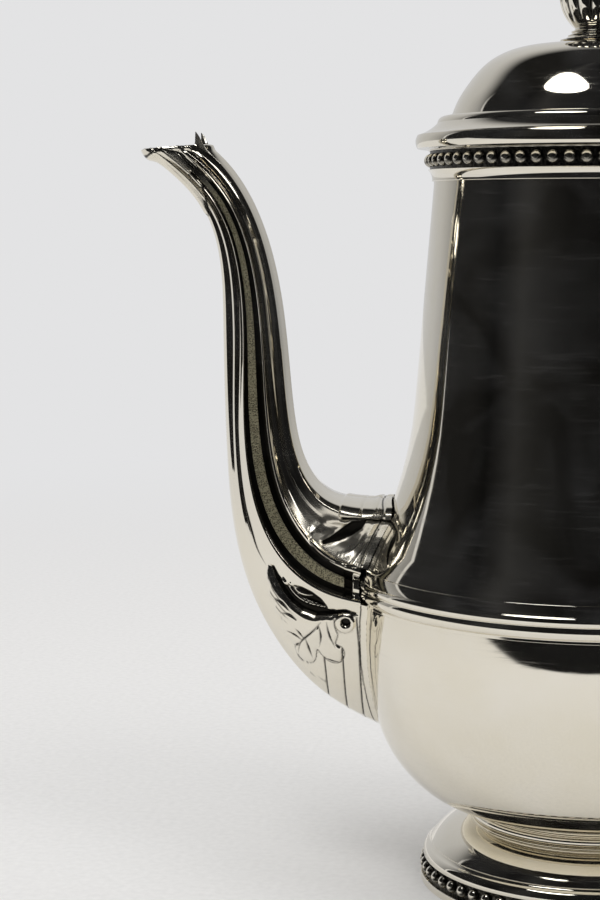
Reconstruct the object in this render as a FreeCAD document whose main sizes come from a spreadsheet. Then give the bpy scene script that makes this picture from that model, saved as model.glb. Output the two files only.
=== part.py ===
import FreeCAD, Part
import math
import os
import Sketcher
from types import SimpleNamespace

# Silver coffee pot on a beaded foot, with a swan-neck spout, a hinged lid and an insulated handle.
# Millimetres, +Z up. The origin is the centre of the plane that the foot rests on, the spout points
# to -X, and the handle and the lid's hinge are on the +X side.

Vector = FreeCAD.Vector

SIZES = {
    # sheet metal and joints
    "wall": 1.0,
    "solder_gap": 0.05,
    "lid_gap": 0.3,
    # foot
    "foot_radius": 42.8,
    "foot_rest_width": 4.0,
    "foot_flange_height": 1.9,
    "foot_seat_depth": 1.7,
    "foot_seat_height": 4.4,
    "foot_lip_depth": 0.7,
    "foot_shoulder_depth": 1.7,
    "foot_shoulder_height": 2.7,
    "foot_step_depth": 2.7,
    "foot_step_height": 0.9,
    "foot_dome_rise": 7.0,
    "foot_dome_bulge": 1.9,
    # collar between foot and bowl
    "collar_bore_radius": 26.0,
    "collar_height": 4.8,
    "collar_band_radius": 30.0,
    "collar_band_height": 2.4,
    "collar_waist_radius": 28.2,
    "collar_top_radius": 29.6,
    # bowl
    "bowl_depth": 52.4,
    "bowl_bulge": 1.5,
    "bowl_shoulder_radius": 54.2,
    "bowl_shoulder_height": 20.3,
    "bowl_turn_radius": 42.9,
    "bowl_turn_height": 4.0,
    "bowl_turn_out": 1.24,
    "bowl_turn_drop": 0.86,
    "bowl_flat_radius": 30.0,
    "bowl_base_out": 0.37,
    "bowl_base_drop": 1.18,
    # strainer holes behind the spout
    "strainer_hole": 3.2,
    "strainer_pitch": 5.4,
    "strainer_rows": 4,
    "strainer_columns": 3,
    "strainer_height": 38.0,
    # belt
    "belt_wall_radius": 58.1,
    "belt_step_height": 0.8,
    "belt_low_rib": 3.2,
    "belt_up_rib": 2.4,
    "belt_skirt": 2.7,
    "belt_rib_depth": 1.3,
    "belt_rib_crown": 0.8,
    "belt_edge": 0.4,
    # upper body and mouth
    "body_flare_radius": 45.1,
    "body_flare_height": 42.0,
    "body_taper_height": 54.8,
    "neck_radius": 40.7,
    "neck_height": 9.2,
    "mouth_band_height": 2.9,
    "mouth_band_rise": 1.3,
    "mouth_band_depth": 0.45,
    "mouth_band_flare": 1.05,
    "mouth_seat_depth": 0.6,
    "mouth_lip_depth": 1.4,
    "mouth_lip_height": 0.4,
    # bead borders
    "bead_strip": 0.4,
    "bead_sink": 0.2,
    "bead_radius": 1.7,
    "rim_bead_count": 66,
    "rim_beads_left_out": 3,
    "foot_bead_count": 62,
    # lid
    "flange_overhang": 4.7,
    "flange_under_depth": 0.5,
    "flange_roll": 3.4,
    "flange_cove_depth": 5.0,
    "flange_cove_height": 3.0,
    "flange_cove_sag": 0.5,
    "flange_ring_depth": 2.3,
    "flange_ring_height": 1.6,
    "flange_ring_crown": 0.5,
    "bezel_clearance": 0.4,
    "bezel_wall": 1.0,
    "bezel_depth": 4.6,
    "bezel_grip": 3.4,
    "dome_foot_depth": 1.2,
    "dome_side_radius": 32.3,
    "dome_side_height": 7.8,
    "dome_turn_radius": 21.0,
    "dome_turn_height": 8.9,
    "dome_crown_height": 1.3,
    "dome_flat_radius": 9.6,
    # finial
    "finial_plate_radius": 8.6,
    "finial_plate_height": 0.7,
    "finial_base_radius": 9.2,
    "finial_base_edge": 0.3,
    "finial_neck_radius": 5.6,
    "finial_neck_height": 2.8,
    "finial_bud_radius": 9.5,
    "finial_bud_height": 9.7,
    "finial_tip_height": 11.0,
    "finial_tip_radius": 1.6,
    "stud_radius": 1.5,
    "stud_clearance": 0.1,
    "stud_length": 7.0,
    "washer_radius": 4.5,
    "washer_height": 1.0,
    "nut_across_flats": 5.5,
    "nut_height": 2.4,
    # lid hinge
    "hinge_reach": 2.6,
    "hinge_rise": 1.1,
    "knuckle_radius": 2.2,
    "knuckle_gap": 0.3,
    "hinge_half_width": 5.6,
    "hinge_middle_half": 1.95,
    "hinge_pin_radius": 0.8,
    "hinge_pin_clearance": 0.05,
    "hinge_pin_head": 0.6,
    "hinge_notch": 1.0,
    "hinge_side_gap": 0.2,
    # spout, reaches outside the belt's wall and heights above the foot of the belt's lower rib
    "spout_lip_front_reach": 58.6,
    "spout_lip_front_height": 115.0,
    "spout_lip_back_reach": 41.0,
    "spout_lip_back_height": 116.0,
    "spout_lip_half": 6.3,
    "spout_chin_front_reach": 51.6,
    "spout_chin_front_height": 109.7,
    "spout_chin_back_reach": 36.0,
    "spout_chin_back_height": 111.2,
    "spout_chin_half": 6.5,
    "spout_throat_front_reach": 43.8,
    "spout_throat_front_height": 101.7,
    "spout_throat_back_reach": 30.4,
    "spout_throat_back_height": 103.2,
    "spout_throat_half": 6.7,
    "spout_neck_front_reach": 37.4,
    "spout_neck_front_height": 72.0,
    "spout_neck_back_reach": 21.5,
    "spout_neck_back_height": 73.0,
    "spout_neck_half": 7.3,
    "spout_swell_front_reach": 36.5,
    "spout_swell_front_height": 36.0,
    "spout_swell_back_reach": 17.4,
    "spout_swell_back_height": 39.5,
    "spout_swell_half": 8.4,
    "spout_knee_front_reach": 29.3,
    "spout_knee_front_height": -2.7,
    "spout_knee_back_reach": 9.6,
    "spout_knee_back_height": 26.6,
    "spout_knee_half": 13.0,
    "spout_hip_front_reach": 14.6,
    "spout_hip_front_height": -24.5,
    "spout_hip_back_reach": 2.0,
    "spout_hip_back_height": 24.5,
    "spout_hip_half": 16.4,
    "spout_root_front_reach": -10.0,
    "spout_root_front_height": -38.2,
    "spout_root_back_reach": -12.0,
    "spout_root_back_height": 24.5,
    "spout_root_half": 17.4,
    "spout_bore_share": 0.62,
    "spout_panel_sink": 0.09,
    "seam_gap": 0.05,
    # handle
    "handle_upper_drop": 29.0,
    "handle_lower_drop": 14.0,
    "socket_length": 12.0,
    "socket_root_radius": 8.0,
    "socket_end_radius": 6.2,
    "insulator_thickness": 4.0,
    "insulator_radius": 6.8,
    "spigot_radius": 2.6,
    "spigot_length": 10.0,
    "spigot_end_gap": 0.4,
    "cross_pin_radius": 0.9,
    "handle_reach": 46.0,
    "handle_rise": 7.0,
    "handle_thickness": 11.0,
    "handle_width": 12.0,
    "handle_waist": 0.86,
}

doc = FreeCAD.newDocument("coffee_pot")
sheet = doc.addObject("Spreadsheet::Sheet", "Sizes")
for row, (name, value) in enumerate(SIZES.items(), start=1):
    sheet.set("A%d" % row, name)
    sheet.set("B%d" % row, str(value))
    sheet.setAlias("B%d" % row, name)
doc.recompute()


class Dim:
    """A length that knows its value and the sheet expression that gives it."""

    def __init__(self, value, text):
        self.value = value
        self.text = text

    def __add__(self, other):
        other = dim(other)
        return Dim(self.value + other.value, "(%s + %s)" % (self.text, other.text))

    def __sub__(self, other):
        other = dim(other)
        return Dim(self.value - other.value, "(%s - %s)" % (self.text, other.text))

    def __mul__(self, factor):
        factor = dim(factor)
        return Dim(self.value * factor.value, "(%s * %s)" % (self.text, factor.text))

    def __truediv__(self, factor):
        factor = dim(factor)
        return Dim(self.value / factor.value, "(%s / %s)" % (self.text, factor.text))

    __radd__ = __add__
    __rmul__ = __mul__

    def __rsub__(self, other):
        return dim(other) - self

    def __neg__(self):
        return Dim(-self.value, "(0 - %s)" % self.text)


def dim(number):
    """A plain number as a Dim."""
    if isinstance(number, Dim):
        return number
    return Dim(float(number), "(%s)" % repr(float(number)))


S = SimpleNamespace(**{name: Dim(float(sheet.get(name)), "Sizes." + name) for name in SIZES})

# Heights up the pot's axis, each standing on the one below
Z = SimpleNamespace()
Z.foot_seat = S.foot_flange_height
Z.foot_lip = Z.foot_seat + S.foot_seat_height
Z.foot_shoulder = Z.foot_lip + S.foot_shoulder_height
Z.foot_step = Z.foot_shoulder + S.foot_step_height
Z.foot_top = Z.foot_step + S.foot_dome_rise
Z.bowl_bottom = Z.foot_top + S.collar_height
Z.bowl_top = Z.bowl_bottom + S.bowl_depth
Z.belt_rib = Z.bowl_top + S.belt_step_height
Z.seam = Z.belt_rib + S.belt_low_rib
Z.belt_rib_top = Z.seam + S.belt_up_rib
Z.belt_top = Z.belt_rib_top + S.belt_skirt
Z.flare = Z.belt_top + S.body_flare_height
Z.neck = Z.flare + S.body_taper_height
Z.mouth = Z.neck + S.neck_height
Z.band_low = Z.neck + S.mouth_band_rise
Z.rim_seat = Z.band_low + S.mouth_band_height
Z.rim_lip = Z.mouth - S.mouth_lip_height
Z.flange = Z.mouth + S.lid_gap
Z.flange_roll = Z.flange + S.flange_roll
Z.flange_cove = Z.flange_roll + S.flange_cove_height
Z.dome_foot = Z.flange_cove + S.flange_ring_height
Z.dome_side = Z.dome_foot + S.dome_side_height
Z.dome_turn = Z.dome_side + S.dome_turn_height
Z.dome_top = Z.dome_turn + S.dome_crown_height
Z.plate_top = Z.dome_top + S.finial_plate_height
Z.hinge = Z.flange + S.hinge_rise
Z.handle_upper = Z.mouth - S.handle_upper_drop
Z.handle_lower = Z.bowl_top - S.handle_lower_drop

# Radii that two pieces share
R = SimpleNamespace()
R.foot_inner = S.foot_radius - S.foot_rest_width
R.foot_seat = S.foot_radius - S.foot_seat_depth
R.foot_lip = S.foot_radius - S.foot_lip_depth
R.foot_shoulder = S.foot_radius - S.foot_shoulder_depth
R.foot_step = S.foot_radius - S.foot_step_depth
R.rim_seat = S.neck_radius + S.mouth_seat_depth
R.mouth_inner = S.neck_radius - S.wall
R.bezel = R.mouth_inner - S.bezel_clearance
R.flange = S.neck_radius + S.flange_overhang
R.flange_cove = R.flange - S.flange_under_depth - S.flange_cove_depth
R.flange_ring = R.flange_cove - S.flange_ring_depth
R.dome_foot = R.flange_ring - S.dome_foot_depth
R.stud_hole = S.stud_radius + S.stud_clearance
R.hinge = R.flange + S.hinge_reach
R.pin_hole = S.hinge_pin_radius + S.hinge_pin_clearance


# Helpers for sketches and solids
def origin_plane(body, role):
    """One of a body's own origin planes, by its role."""
    return next(item for item in body.Origin.OriginFeatures if item.Role == role)


def vector(corner):
    """The point of a corner in its sketch."""
    return Vector(corner[0].value, corner[1].value, 0)


def bowed(start, end, out=0.0, up=0.0):
    """A point beside the middle of the chord from start to end."""
    return ((start[0] + end[0]) / 2 + out, (start[1] + end[1]) / 2 + up)


def tangent_arc(start, direction, end):
    """The middle point of the arc that leaves start along direction and reaches end."""
    chord = end - start
    side = Vector(-direction.y, direction.x, 0)
    radius = chord.Length ** 2 / (2 * side.dot(chord))
    centre = start + side * radius
    middle = (start + end) / 2 - centre
    middle.normalize()
    return centre + middle * abs(radius)


def end_direction(edge, end):
    """The direction in which an edge arrives at its end."""
    at_end = edge.Curve.parameter(end)
    leaving = edge.tangentAt(at_end)
    start = edge.Vertexes[0].Point
    if start.isEqual(end, 1e-7):
        start = edge.Vertexes[-1].Point
    inside = edge.valueAt(edge.Curve.parameter(start) * 0.001 + at_end * 0.999)
    if leaving.dot(end - inside) < 0:
        leaving = -leaving
    return leaving


def place_point(sketch, geometry, position, corner):
    """Hold a sketch point at a corner's radius and height, from the sheet."""
    origin_axes = ((0, -2, "DistanceX"), (1, -1, "DistanceY"))
    for part, axis, kind in origin_axes:
        size = corner[part]
        if abs(size.value) < 1e-9:
            sketch.addConstraint(Sketcher.Constraint("PointOnObject", geometry, position, axis))
            continue
        if size.value > 0:
            rule = Sketcher.Constraint(kind, -1, 1, geometry, position, size.value)
            text = size.text
        else:
            rule = Sketcher.Constraint(kind, geometry, position, -1, 1, -size.value)
            text = (-size).text
        index = sketch.addConstraint(rule)
        sketch.setExpression("Constraints[%d]" % index, text)


def outline(body, name, corners, plane="XZ_Plane"):
    """A closed sketch through corners (across, up), with a third entry where an arc arrives there.

    The third entry is a point on the arc, or "tangent" to carry on smoothly from the edge before.
    """
    sketch = body.newObject("Sketcher::SketchObject", name)
    sketch.AttachmentSupport = (origin_plane(body, plane), [""])
    sketch.MapMode = "FlatFace"
    count = len(corners)
    starts = []
    edge = None
    for index in range(count):
        first = corners[index]
        last = corners[(index + 1) % count]
        begin = vector(first)
        end = vector(last)
        smooth = len(last) > 2 and last[2] == "tangent"
        if len(last) > 2:
            via = tangent_arc(begin, end_direction(edge, begin), end) if smooth else vector(last[2])
            curve = Part.Arc(begin, via, end)
        else:
            curve = Part.LineSegment(begin, end)
        edge = curve.toShape()
        geometry = sketch.addGeometry(curve, False)
        swapped = not sketch.getPoint(geometry, 1).isEqual(begin, 1e-6)
        starts.append((geometry, 2 if swapped else 1, 1 if swapped else 2, smooth))
        if len(last) > 2 and not smooth:
            point = sketch.addGeometry(Part.Point(via), True)
            place_point(sketch, point, 1, last[2])
            sketch.addConstraint(Sketcher.Constraint("PointOnObject", point, 1, geometry))
    for index, (geometry, begin, end, smooth) in enumerate(starts):
        before, _, before_end, _ = starts[index - 1]
        kind = "Tangent" if smooth else "Coincident"
        sketch.addConstraint(Sketcher.Constraint(kind, before, before_end, geometry, begin))
        place_point(sketch, geometry, begin, corners[index])
    return sketch


def new_body(label):
    """A PartDesign body that is called by its label."""
    body = doc.addObject("PartDesign::Body", label)
    body.Label = label
    return body


def turned(label, corners, angle=360):
    """A body turned about Z from a closed outline of radii and heights."""
    body = new_body(label)
    sketch = outline(body, label + "_outline", corners)
    turn = body.newObject("PartDesign::Revolution", label + "_turn")
    turn.Profile = sketch
    turn.ReferenceAxis = (sketch, ["V_Axis"])
    turn.Angle = angle
    sketch.Visibility = False
    doc.recompute()
    return body


def place(item, across, up, rotation=FreeCAD.Rotation()):
    """Put an object at a place of the middle plane, bound to the sheet."""
    item.Placement = FreeCAD.Placement(Vector(across.value, 0, up.value), rotation)
    item.setExpression("Placement.Base.x", across.text)
    item.setExpression("Placement.Base.z", up.text)


def block(label, low, high):
    """A box between two corners given as (x, y, z)."""
    item = doc.addObject("Part::Box", label)
    for name, start, end in zip(("Length", "Width", "Height"), low, high):
        item.setExpression(name, (end - start).text)
    for name, start in zip("xyz", low):
        item.setExpression("Placement.Base." + name, start.text)
    return item


def rod(label, radius, start, end, across, up):
    """A cylinder along Y between two y values, at a place of the middle plane."""
    item = doc.addObject("Part::Cylinder", label)
    item.setExpression("Radius", radius.text)
    item.setExpression("Height", (end - start).text)
    place(item, across, up, FreeCAD.Rotation(Vector(1, 0, 0), -90))
    item.setExpression("Placement.Base.y", start.text)
    return item


def spindle(label, radius, start, end, up):
    """A cylinder along X between two x values, at a height of the middle plane."""
    item = doc.addObject("Part::Cylinder", label)
    item.setExpression("Radius", radius.text)
    item.setExpression("Height", (end - start).text)
    place(item, start, up, FreeCAD.Rotation(Vector(0, 1, 0), 90))
    return item


def joined(label, *items):
    """The union of several objects."""
    item = doc.addObject("Part::MultiFuse", label)
    item.Label = label
    item.Shapes = list(items)
    item.Refine = True
    return item


def cut(label, base, *tools):
    """One object with others taken away."""
    item = doc.addObject("Part::Cut", label)
    item.Label = label
    item.Base = base
    item.Tool = tools[0] if len(tools) == 1 else joined(label + "_tools", *tools)
    return item


def turn_axis_to_x():
    """The rotation that lays a turned piece's axis along +X."""
    return FreeCAD.Rotation(Vector(0, 1, 0), 90)


# Foot
def foot_ring():
    """Base ring with its flat rest face, bead seat, rolled shoulder and step."""
    lip = (R.foot_lip, Z.foot_lip)
    shoulder = (R.foot_shoulder, Z.foot_shoulder)
    step = (R.foot_step, Z.foot_step)
    return turned("foot_ring", [
        (R.foot_inner, dim(0)),
        (S.foot_radius, dim(0)),
        (S.foot_radius, Z.foot_seat),
        (R.foot_seat, Z.foot_seat),
        (R.foot_seat, Z.foot_lip),
        lip,
        shoulder + (bowed(lip, shoulder, out=S.foot_lip_depth * 0.6),),
        step + (bowed(shoulder, step, out=-S.foot_lip_depth * 0.2),),
        (R.foot_inner, Z.foot_step),
    ])


def foot_dome():
    """Spun foot from the base ring up to the collar."""
    low = (R.foot_step, Z.foot_step)
    high = (S.collar_band_radius, Z.foot_top)
    low_inside = (R.foot_step - S.wall, Z.foot_step)
    high_inside = (S.collar_band_radius, Z.foot_top - S.wall)
    inside = bowed(high_inside, low_inside, out=S.foot_dome_bulge - S.wall * 0.6)
    return turned("foot_dome", [
        low,
        high + (bowed(low, high, out=S.foot_dome_bulge),),
        (S.collar_bore_radius, Z.foot_top),
        (S.collar_bore_radius, Z.foot_top - S.wall),
        high_inside,
        low_inside + (inside,),
    ])


def foot_collar():
    """Turned collar with a rolled band and a hollow waist, between foot and bowl."""
    base = (S.collar_band_radius - S.collar_band_height * 0.25, Z.foot_top)
    band_top = (S.collar_waist_radius + S.collar_band_height * 0.25, Z.foot_top + S.collar_band_height)
    top = (S.collar_top_radius, Z.bowl_bottom)
    waist = (S.collar_waist_radius, (band_top[1] + top[1]) / 2)
    return turned("foot_collar", [
        (S.collar_bore_radius, Z.foot_top),
        base,
        band_top + ((S.collar_band_radius, Z.foot_top + S.collar_band_height * 0.5),),
        top + (waist,),
        (S.collar_bore_radius, Z.bowl_bottom),
    ])


def bead_border(label, seat, low, high, count, left_out):
    """A strip in its seat with a row of half-round beads, open where some beads are left out."""
    pitch = dim(360) / count
    body = turned(label, [
        (seat, low),
        (seat + S.bead_strip, low),
        (seat + S.bead_strip, high),
        (seat, high),
    ])
    if left_out.value > 0:
        body.Tip.setExpression("Angle", (360 - pitch * left_out).text)
    bead = body.newObject("PartDesign::AdditiveSphere", label + "_bead")
    bead.Angle3 = 180
    bead.setExpression("Radius", S.bead_radius.text)
    reach = (seat + S.bead_sink).text
    first = "180 deg / " + count.text
    bead.Placement = FreeCAD.Placement(Vector(), FreeCAD.Rotation(Vector(0, 0, 1), 270))
    bead.setExpression("Placement.Base.x", "%s * cos(%s)" % (reach, first))
    bead.setExpression("Placement.Base.y", "%s * sin(%s)" % (reach, first))
    bead.setExpression("Placement.Base.z", ((low + high) / 2).text)
    bead.setExpression("Placement.Rotation.Angle", "270 deg + " + first)
    doc.recompute()
    row = body.newObject("PartDesign::PolarPattern", label + "_row")
    row.Originals = [bead]
    row.Axis = (body.Origin.OriginFeatures[2], [""])
    beads = count - left_out
    row.setExpression("Occurrences", beads.text)
    if left_out.value > 0:
        row.setExpression("Angle", (pitch * (beads - 1)).text)
    body.Tip = row
    if left_out.value > 0:
        half_gap = pitch * left_out / 2
        body.Placement = FreeCAD.Placement(Vector(), FreeCAD.Rotation(Vector(0, 0, 1), half_gap.value))
    doc.recompute()
    return body


# Body: corners of the outer faces, shared by the shells and by what is soldered on them
def bowl_outside(grow=0.0):
    """The bowl's outer face from its flat bottom up to the belt, swollen by grow."""
    top = (S.belt_wall_radius + grow, Z.bowl_top)
    shoulder = (S.bowl_shoulder_radius + grow, Z.bowl_bottom + S.bowl_shoulder_height)
    turn = (S.bowl_turn_radius + grow, Z.bowl_bottom + S.bowl_turn_height)
    flat = (S.bowl_flat_radius + grow, Z.bowl_bottom)
    return [
        top,
        shoulder + (bowed(top, shoulder, out=S.bowl_bulge),),
        turn + (bowed(shoulder, turn, out=S.bowl_turn_out, up=-S.bowl_turn_drop),),
        flat + (bowed(turn, flat, out=S.bowl_base_out, up=-S.bowl_base_drop),),
    ]


def bowl_radius(height):
    """The outer radius of the bowl's upper part at a height, on its bulge."""
    shoulder = Z.bowl_bottom + S.bowl_shoulder_height
    share = (height - shoulder) / (Z.bowl_top - shoulder)
    straight = S.bowl_shoulder_radius + (S.belt_wall_radius - S.bowl_shoulder_radius) * share
    return straight + S.bowl_bulge * 4 * share * (dim(1) - share)


def wall_outside(grow=0.0):
    """The upper body's outer face from the neck down to the belt, swollen by grow."""
    neck = (S.neck_radius + grow, Z.neck)
    flare = (S.body_flare_radius + grow, Z.flare)
    belt = (S.belt_wall_radius + grow, Z.belt_top)
    return [neck, flare, belt + ("tangent",)]


def lower_bowl():
    """Spun bowl with its bottom, pierced by a cluster of strainer holes behind the spout."""
    inner_top = (S.belt_wall_radius - S.wall, Z.bowl_top)
    inner_shoulder = (S.bowl_shoulder_radius - S.wall, Z.bowl_bottom + S.bowl_shoulder_height)
    inner_turn = (S.bowl_turn_radius - S.wall * 0.7, Z.bowl_bottom + S.bowl_turn_height + S.wall * 0.7)
    inner_flat = (S.bowl_flat_radius, Z.bowl_bottom + S.wall)
    body = turned("lower_bowl", [
        (S.belt_wall_radius, Z.seam),
        *bowl_outside(),
        (dim(0), Z.bowl_bottom),
        (dim(0), Z.bowl_bottom + S.wall),
        inner_flat,
        inner_turn + (bowed(inner_flat, inner_turn, out=S.bowl_base_out, up=-S.bowl_base_drop),),
        inner_shoulder + (bowed(inner_turn, inner_shoulder, out=S.bowl_turn_out, up=-S.bowl_turn_drop),),
        inner_top + (bowed(inner_shoulder, inner_top, out=S.bowl_bulge),),
        (S.belt_wall_radius - S.wall, Z.seam),
    ])
    sketch = body.newObject("Sketcher::SketchObject", "strainer_holes")
    sketch.AttachmentSupport = (origin_plane(body, "YZ_Plane"), [""])
    sketch.MapMode = "FlatFace"
    rows = int(S.strainer_rows.value)
    columns = int(S.strainer_columns.value)
    for row in range(rows):
        for column in range(columns):
            across = S.strainer_pitch * (column - (columns - 1) / 2)
            up = Z.bowl_bottom + S.strainer_height + S.strainer_pitch * (row - (rows - 1) / 2)
            centre = vector((across, up))
            hole = sketch.addGeometry(Part.Circle(centre, Vector(0, 0, 1), S.strainer_hole.value / 2), False)
            place_point(sketch, hole, 3, (across, up))
            index = sketch.addConstraint(Sketcher.Constraint("Diameter", hole, S.strainer_hole.value))
            sketch.setExpression("Constraints[%d]" % index, S.strainer_hole.text)
    solid_volume = body.Shape.Volume
    pocket = body.newObject("PartDesign::Pocket", "strainer")
    pocket.Profile = sketch
    pocket.Type = "Length"
    pocket.setExpression("Length", (S.belt_wall_radius + S.bowl_shoulder_radius).text)
    doc.recompute()
    if body.Shape.Solids[0].CenterOfMass.x < 0:
        pocket.Reversed = True
        doc.recompute()
    if body.Shape.Volume >= solid_volume:
        raise RuntimeError("the strainer holes cut nothing")
    return body


def belt_moulding():
    """Belt of two ribs under a sloping skirt, over the joint of bowl and upper body."""
    groove = S.belt_wall_radius + S.belt_rib_depth
    low = (S.belt_wall_radius + S.belt_edge, Z.belt_rib)
    seam = (groove, Z.seam)
    rib_top = (groove, Z.belt_rib_top)
    return turned("belt_moulding", [
        (S.belt_wall_radius, Z.bowl_top),
        (S.belt_wall_radius + S.belt_edge, Z.bowl_top),
        low,
        seam + (bowed(low, seam, out=S.belt_rib_crown),),
        rib_top + (bowed(seam, rib_top, out=S.belt_rib_crown * 0.75),),
        (S.belt_wall_radius + S.belt_edge, Z.belt_top),
        (S.belt_wall_radius, Z.belt_top),
    ])


def upper_body():
    """Spun upper body: neck, tapering wall, and the flare down to the belt."""
    belt = (S.belt_wall_radius - S.wall, Z.belt_top)
    flare = (S.body_flare_radius - S.wall, Z.flare)
    return turned("upper_body", [
        (S.neck_radius, Z.mouth),
        *wall_outside(),
        (S.belt_wall_radius, Z.seam),
        (S.belt_wall_radius - S.wall, Z.seam),
        belt,
        flare + (bowed(belt, flare, out=-flare_sag()),),
        (R.mouth_inner, Z.neck),
        (R.mouth_inner, Z.mouth),
    ])


def flare_sag():
    """How far the wall's flare hangs inside its chord, so that the inner face keeps the wall."""
    rise = S.body_flare_height.value
    neck, flare, belt = [vector(corner) for corner in wall_outside()]
    middle = tangent_arc(flare, (flare - neck).normalize(), belt)
    chord = (flare + belt) / 2
    slope = (belt.x - flare.x) / rise
    return (chord.x - middle.x) - (chord.y - middle.y) * slope


def mouth_ring():
    """Moulded ring round the neck: sloping band, bead seat and top lip."""
    return turned("mouth_ring", [
        (S.neck_radius, Z.band_low),
        (S.neck_radius + S.mouth_band_depth, Z.band_low),
        (S.neck_radius + S.mouth_band_depth + S.mouth_band_flare, Z.rim_seat),
        (R.rim_seat, Z.rim_seat),
        (R.rim_seat, Z.rim_lip),
        (S.neck_radius + S.mouth_lip_depth, Z.rim_lip),
        (S.neck_radius + S.mouth_lip_depth, Z.mouth),
        (S.neck_radius, Z.mouth),
    ])


def body_core():
    """The pot's outer form as one solid, a solder gap larger, to fit what is soldered on."""
    grow = S.solder_gap
    belt_radius = S.belt_wall_radius + S.belt_rib_depth + S.belt_rib_crown + grow
    return turned("body_core", [
        (dim(0), Z.mouth),
        (S.neck_radius + grow, Z.mouth),
        *wall_outside(grow),
        (belt_radius, Z.belt_top),
        (belt_radius, Z.bowl_top),
        *bowl_outside(grow),
        (dim(0), Z.bowl_bottom),
    ])


# Spout
STATIONS = ("lip", "chin", "throat", "neck", "swell", "knee", "hip", "root")


def spout_station(name, part):
    """One measure of a spout station."""
    return getattr(S, "spout_%s_%s" % (name, part)).value


def station_points(side):
    """The stations' front or back points in the middle plane."""
    points = []
    for name in STATIONS:
        reach = S.belt_wall_radius.value + spout_station(name, side + "_reach")
        points.append(Vector(-reach, 0, Z.belt_rib.value + spout_station(name, side + "_height")))
    return points


def station_marks():
    """How far along the spout's middle line each station lies."""
    middles = [(front + back) / 2 for front, back in zip(station_points("front"), station_points("back"))]
    marks = [0.0]
    for before, after in zip(middles, middles[1:]):
        marks.append(marks[-1] + before.distanceToPoint(after))
    return marks


def smooth_curve(points):
    """A smooth curve through one point for each station."""
    curve = Part.BSplineCurve()
    curve.interpolate(Points=points, Parameters=station_marks())
    return curve


def mixed(share, neck, root):
    """Between a value for the neck and one for the root."""
    return neck + (root - neck) * share


def section_outline(share):
    """Half of the spout's section as (depth, width) shares: outer chain, then bore chain.

    Depth runs from the front edge (0) to the back (1). Each entry is a corner, or a pair of corner
    and arc point. From the front: round front, flute, sunk panel between two ridges, flute, round back.
    """
    bore = S.spout_bore_share.value + share * 0.1
    sink = S.spout_panel_sink.value
    low = mixed(share, 0.33, 0.55)
    high = mixed(share, 0.62, 0.71)
    front = mixed(share, 0.11, 0.16)
    back = mixed(share, 0.88, 0.95)
    front_half = mixed(share, 0.62, 0.60)
    back_half = mixed(share, 0.62, 0.82)
    ridge = mixed(share, 0.95, 1.0)
    flute_up = ((high + back) / 2, mixed(share, 0.74, 0.80))
    flute_low = ((low + front) / 2, mixed(share, 0.74, 0.88))
    outer = [
        (0.0, 0.0),
        ((front, front_half), (front * 0.25, front_half * 0.55)),
        ((low, ridge), flute_low),
        (low + 0.015, ridge - sink),
        (high - 0.015, ridge - sink),
        (high, ridge),
        ((back, back_half), flute_up),
        ((1.0, 0.0), (1.0 - (1.0 - back) * 0.25, back_half * 0.55)),
    ]
    edge = (1 - bore) / 3
    inner = [
        (1 - edge, 0.0),
        ((0.5, bore), (1 - edge * 1.9, bore * 0.75)),
        ((edge, 0.0), (edge * 1.9, bore * 0.75)),
    ]
    return outer, inner


def spout_section(mark, side, front, back, widths):
    """One closed half section of the spout, on the side of Y that side gives."""
    low = front.value(mark)
    high = back.value(mark)
    half = widths.value(mark).y
    marks = dict(zip(STATIONS, station_marks()))
    share = max(0.0, min(1.0, (mark - marks["neck"]) / (marks["hip"] - marks["neck"])))
    share = share * share * (3 - 2 * share)
    seam = S.seam_gap.value / 2

    def at(corner):
        point = low + (high - low) * corner[0]
        return Vector(point.x, side * (seam + half * corner[1]), point.z)

    outer, inner = section_outline(share)
    edges = []
    previous = None
    for entry in outer + inner + outer[:1]:
        arc = isinstance(entry[0], tuple)
        corner = at(entry[0] if arc else entry)
        if previous is not None:
            if arc:
                edges.append(Part.Arc(previous, at(entry[1]), corner).toShape())
            else:
                edges.append(Part.LineSegment(previous, corner).toShape())
        previous = corner
    return Part.Wire(edges)


def spout_half(label, side, core):
    """One cast half of the spout, cut to fit the body."""
    front = smooth_curve(station_points("front"))
    back = smooth_curve(station_points("back"))
    widths = smooth_curve([Vector(0, spout_station(name, "half"), 0) for name in STATIONS])
    marks = station_marks()
    cuts = sorted(marks + [(before + after) / 2 for before, after in zip(marks, marks[1:])])
    wires = [spout_section(mark, side, front, back, widths) for mark in cuts]
    casting = doc.addObject("Part::Feature", label + "_casting")
    casting.Shape = Part.makeLoft(wires, True, False)
    return cut(label, casting, core)


# Lid
def lid_flange(notch):
    """Moulded edge of the lid: roll, hollow and bead, notched for the hinge leaf."""
    under = (R.flange - S.flange_under_depth, Z.flange)
    roll = (R.flange - S.flange_under_depth, Z.flange_roll)
    cove = (R.flange_cove, Z.flange_cove)
    ring = (R.flange_ring, Z.dome_foot)
    inside = R.dome_foot - S.wall
    ring_body = turned("lid_flange_ring", [
        (R.bezel, Z.flange),
        under,
        roll + (bowed(under, roll, out=S.flange_under_depth),),
        cove + (bowed(roll, cove, up=-S.flange_cove_sag),),
        ring + (bowed(cove, ring, out=S.flange_ring_crown, up=S.flange_ring_crown),),
        (inside, Z.dome_foot),
        (inside, Z.dome_foot - S.wall),
        (R.bezel, Z.flange + S.bezel_grip),
    ])
    return cut("lid_flange", ring_body, notch)


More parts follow.
